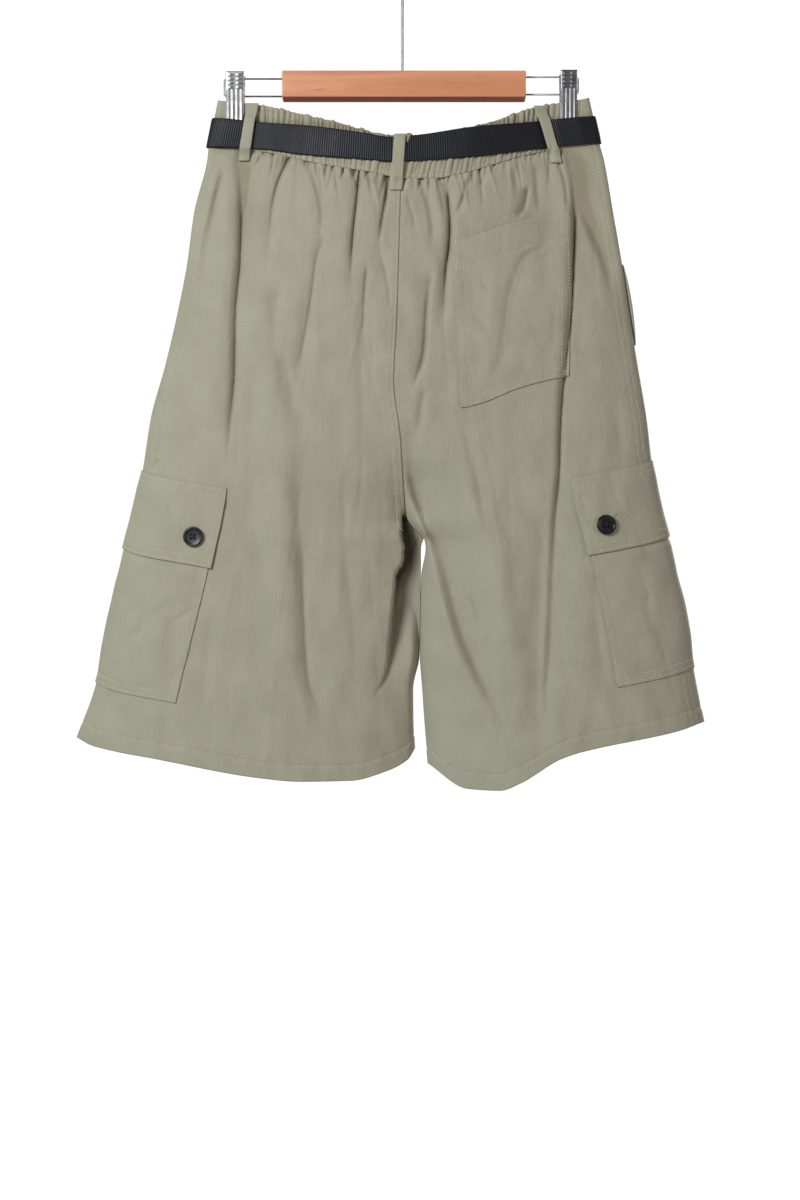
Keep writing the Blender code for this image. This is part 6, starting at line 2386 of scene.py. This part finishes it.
@dataclass
class ClipPiece:
    """A sprung clip: two pressed jaws with thumb dimples and ribs, and a coil spring between."""
    clip: Clip
    foot: float = 125.0
    bite: float = 104.0
    thick: float = 1.4
    rib: float = 0.6
    ribs_from: float = 17.0
    dimple: float = 0.9
    opening: float = 8.3
    turns: int = 7
    coil: float = 5.2             # its largest radius
    side_room: float = 3.2        # from the spring's ends to the jaws' sides
    inset: float = 0.3            # of the side plates from the jaws

    def depth(self, level: Number) -> Grid:
        """Depth of a jaw's inner side: apart at the top, on the casing at its tip."""
        shut = PINCH[-1][1] + 1.5 * GAP
        return lerp(shut, self.opening, np.maximum(0.0, (self.bite - level) / (self.bite - CLIPS[0].top)))

    def build(self) -> None:
        """Make both jaws and the spring."""
        word = self.clip.side.word
        # the right clip gets a darker copy of the nickel
        finish = NICKEL if self.clip.side == Side.LEFT else DARKER_NICKEL
        for face in Face:
            dress(self.jaw(face, finish), Slot.NICKEL, f"clip_{word}_jaw_{face.word}")
        dress(self.spring(finish), Slot.NICKEL, f"clip_{word}_core")

    def jaw(self, face: Face, finish: Finish) -> Thing:
        """One jaw.

        Args:
            face: Back or front.
            finish: Its metal.

        Returns:
            The object.
        """
        clip = self.clip
        across = np.linspace(clip.low, clip.high, 49)[None, :]
        head = clip.top + np.array([0.0, 0.25, 0.6])
        level = np.concatenate([head, np.linspace(clip.top + 1, self.foot, 92)])[:, None]
        place = (across - clip.low) / clip.wide
        ribs = self.rib * np.clip(1.6 * np.sin(4 * math.pi * place) ** 2 - 0.3, 0, 1)
        ribs = ribs * smooth((level - clip.top - self.ribs_from) / 1.5)
        dimples = np.zeros(np.broadcast(across, level).shape)
        for row in range(4):
            y = clip.top + 3.6 + row * 4.0
            for column in (-1, 1):
                x = clip.middle + column * clip.wide * 0.23
                dimples += bump((across - x) / 2.7, 1.0) ** 2 * bump(level - y, 1.0)
        edge = -0.5 * bump(place, 0.05) - 0.5 * bump(1 - place, 0.05) - 0.5 * bump(level - clip.top, 0.5)
        depth = self.depth(level) + np.zeros_like(across)
        outer, inner = [np.stack(np.broadcast_arrays(across, face * stand, -(MARK + level)), axis=-1)
                        for stand in (depth + self.thick + ribs + self.dimple * dimples + edge, depth)]
        flat = np.zeros((*depth.shape, 2))
        return Shell(outer, inner, face, 0.3).build(f"jaw_{clip.side.word}_{face.word}", finish, flat)

    def spring(self, finish: Finish) -> Thing:
        """Coil spring on its pin, with an ear of each jaw at its sides.

        Args:
            finish: Its metal.

        Returns:
            The object.
        """
        clip = self.clip
        radius = min(float(self.depth(clip.wire_bottom)) - 0.3, self.coil) - 0.7
        centre = np.array([clip.middle, 0.0, -(MARK + (clip.wire_top + clip.wire_bottom) / 2)])
        turn = np.linspace(0, 2 * math.pi * self.turns, self.turns * 16)
        half = clip.wide / 2 - self.side_room
        coil = np.stack([np.linspace(-half, half, len(turn)), radius * np.cos(turn), radius * np.sin(turn)],
                        axis=-1)
        pin = np.linspace(-half - 2.2, half + 2.2, 12)[:, None] * np.array([1.0, 0.0, 0.0])
        parts = [swept(centre + coil, 0.6, 8), swept(centre + pin, 1.3, 12)]
        parts += [self.ear(clip.middle + end * (half + 1.4)) for end in (-1, 1)]
        return joined(f"spring_{clip.side.word}", parts, finish)

    def ear(self, across: float) -> tuple:
        """A side plate between the jaws.

        Args:
            across: Its place.

        Returns:
            Its points and faces.
        """
        levels = np.linspace(self.clip.wire_top + 1.4, self.clip.wire_bottom - 1.4, 8)
        depth = self.depth(levels) - self.inset
        outline = [*zip(-depth, levels), *zip(depth[::-1], levels[::-1])]
        points = [(x, y, -(MARK + level)) for x in (across - 0.5, across + 0.5) for y, level in outline]
        numbers = np.arange(len(points)).reshape(2, -1)
        band = grid_faces(np.hstack([numbers, numbers[:, :1]]))
        return np.array(points), [numbers[0, ::-1].tolist(), numbers[1].tolist(), *band.tolist()]


# ---- studio

@dataclass
class Studio:
    """Pale floor, soft lights and the camera."""
    floor_level: float = -1.9
    floor_reach: float = 1.9
    distance: float = 1.8
    lens: float = 54.0
    film: float = 36.0
    world: float = 0.20
    sky: float = 1.05
    cool: tuple = (0.975, 1.0, 0.975)
    warm: tuple = (1.0, 0.84, 0.74)
    target: tuple = (0.0, 0.0, -0.5)

    def build(self) -> None:
        """Make the floor, the lights, the world and the camera."""
        self.floor()
        self.air()
        self.lamp("key", (-1.45, -1.9, 0.35), 0.75, 58.0, self.cool)
        self.lamp("fill", (2.35, -1.45, -0.2), 1.5, 16.5, self.warm)
        self.lamp("key_front", (1.5, 2.0, 0.35), 1.0, 60.0, self.cool)
        self.lamp("fill_front", (-1.8, 2.0, -0.2), 1.6, 16.0, self.warm)
        self.camera()

    def floor(self) -> None:
        """A round pale floor that fades out at its rim."""
        turn = np.linspace(0, 2 * math.pi, 96, endpoint=False)
        rim = np.stack([np.cos(turn), np.sin(turn)], axis=-1) * self.floor_reach
        mesh = bpy.data.meshes.new("floor")
        mesh.from_pydata([(x, y, self.floor_level) for x, y in rim], [], [list(range(len(rim)))])
        mesh.materials.append(Floor(reach=self.floor_reach).material())
        placed("floor", mesh)

    def air(self) -> None:
        """A white world: soft light on the object, plain white behind it."""
        world = bpy.data.worlds.new("studio")
        bpy.context.scene.world = world
        world.use_nodes = True
        nodes, links = world.node_tree.nodes, world.node_tree.links
        back = nodes["Background"]
        back.inputs["Color"].default_value = (1.0, 1.0, 1.0, 1.0)
        level = nodes.new("ShaderNodeMapRange")
        level.inputs["To Min"].default_value = self.world
        level.inputs["To Max"].default_value = self.sky
        links.new(nodes.new("ShaderNodeLightPath").outputs["Is Camera Ray"], level.inputs["Value"])
        links.new(level.outputs["Result"], back.inputs["Strength"])
        bpy.context.scene.view_settings.view_transform = "Standard"

    def lamp(self, name: str, place: tuple, size: float, power: float, colour: tuple) -> None:
        """A large soft light.

        Args:
            name: Its name.
            place: Where it stands, in metres.
            size: Its width and height.
            power: Its watts.
            colour: Its colour.
        """
        light = bpy.data.lights.new(name, "AREA")
        light.size, light.energy, light.color = size, power, colour
        thing = placed(name, light)
        thing.location = place
        thing.rotation_euler = (Vector(self.target) - Vector(place)).to_track_quat("-Z", "Y").to_euler()

    def camera(self) -> None:
        """A level camera behind the shorts, at the height of the frame's middle."""
        lens = bpy.data.cameras.new("camera")
        lens.lens, lens.sensor_width, lens.sensor_fit = self.lens, self.film, "AUTO"
        thing = placed("camera", lens)
        height = -(MARK + GARMENT.eye_level)
        thing.location = (GARMENT.eye_across * MILLIMETRE, -self.distance, height * MILLIMETRE)
        thing.rotation_euler = (math.pi / 2, 0.0, 0.0)
        bpy.context.scene.camera = thing


# ---- the whole scene

def main() -> None:
    """Build every piece in order."""
    logging.basicConfig(level=logging.INFO, format="%(name)s %(message)s")
    for side in Side:
        Panel(side, Face.BACK).build()
        Panel(side, Face.FRONT, pitch=(2.6, 4.0)).build()
    RearPocket().build()
    for side in Side:
        CargoPocket(side, CARGO_EDGE, *CARGO_SPAN).build()
        CargoFlap(side, FLAP_EDGE, *FLAP_SPAN).build()
        SlashPocket(side, 2.8 if side == Side.RIGHT else 0.0).build()
    for face in Face:
        Casing(face).build()
    for piece in (Belt, Loops, Buckle, Buttons, Hanger, Studio):
        piece().build()


if __name__ == "__main__":
    main()
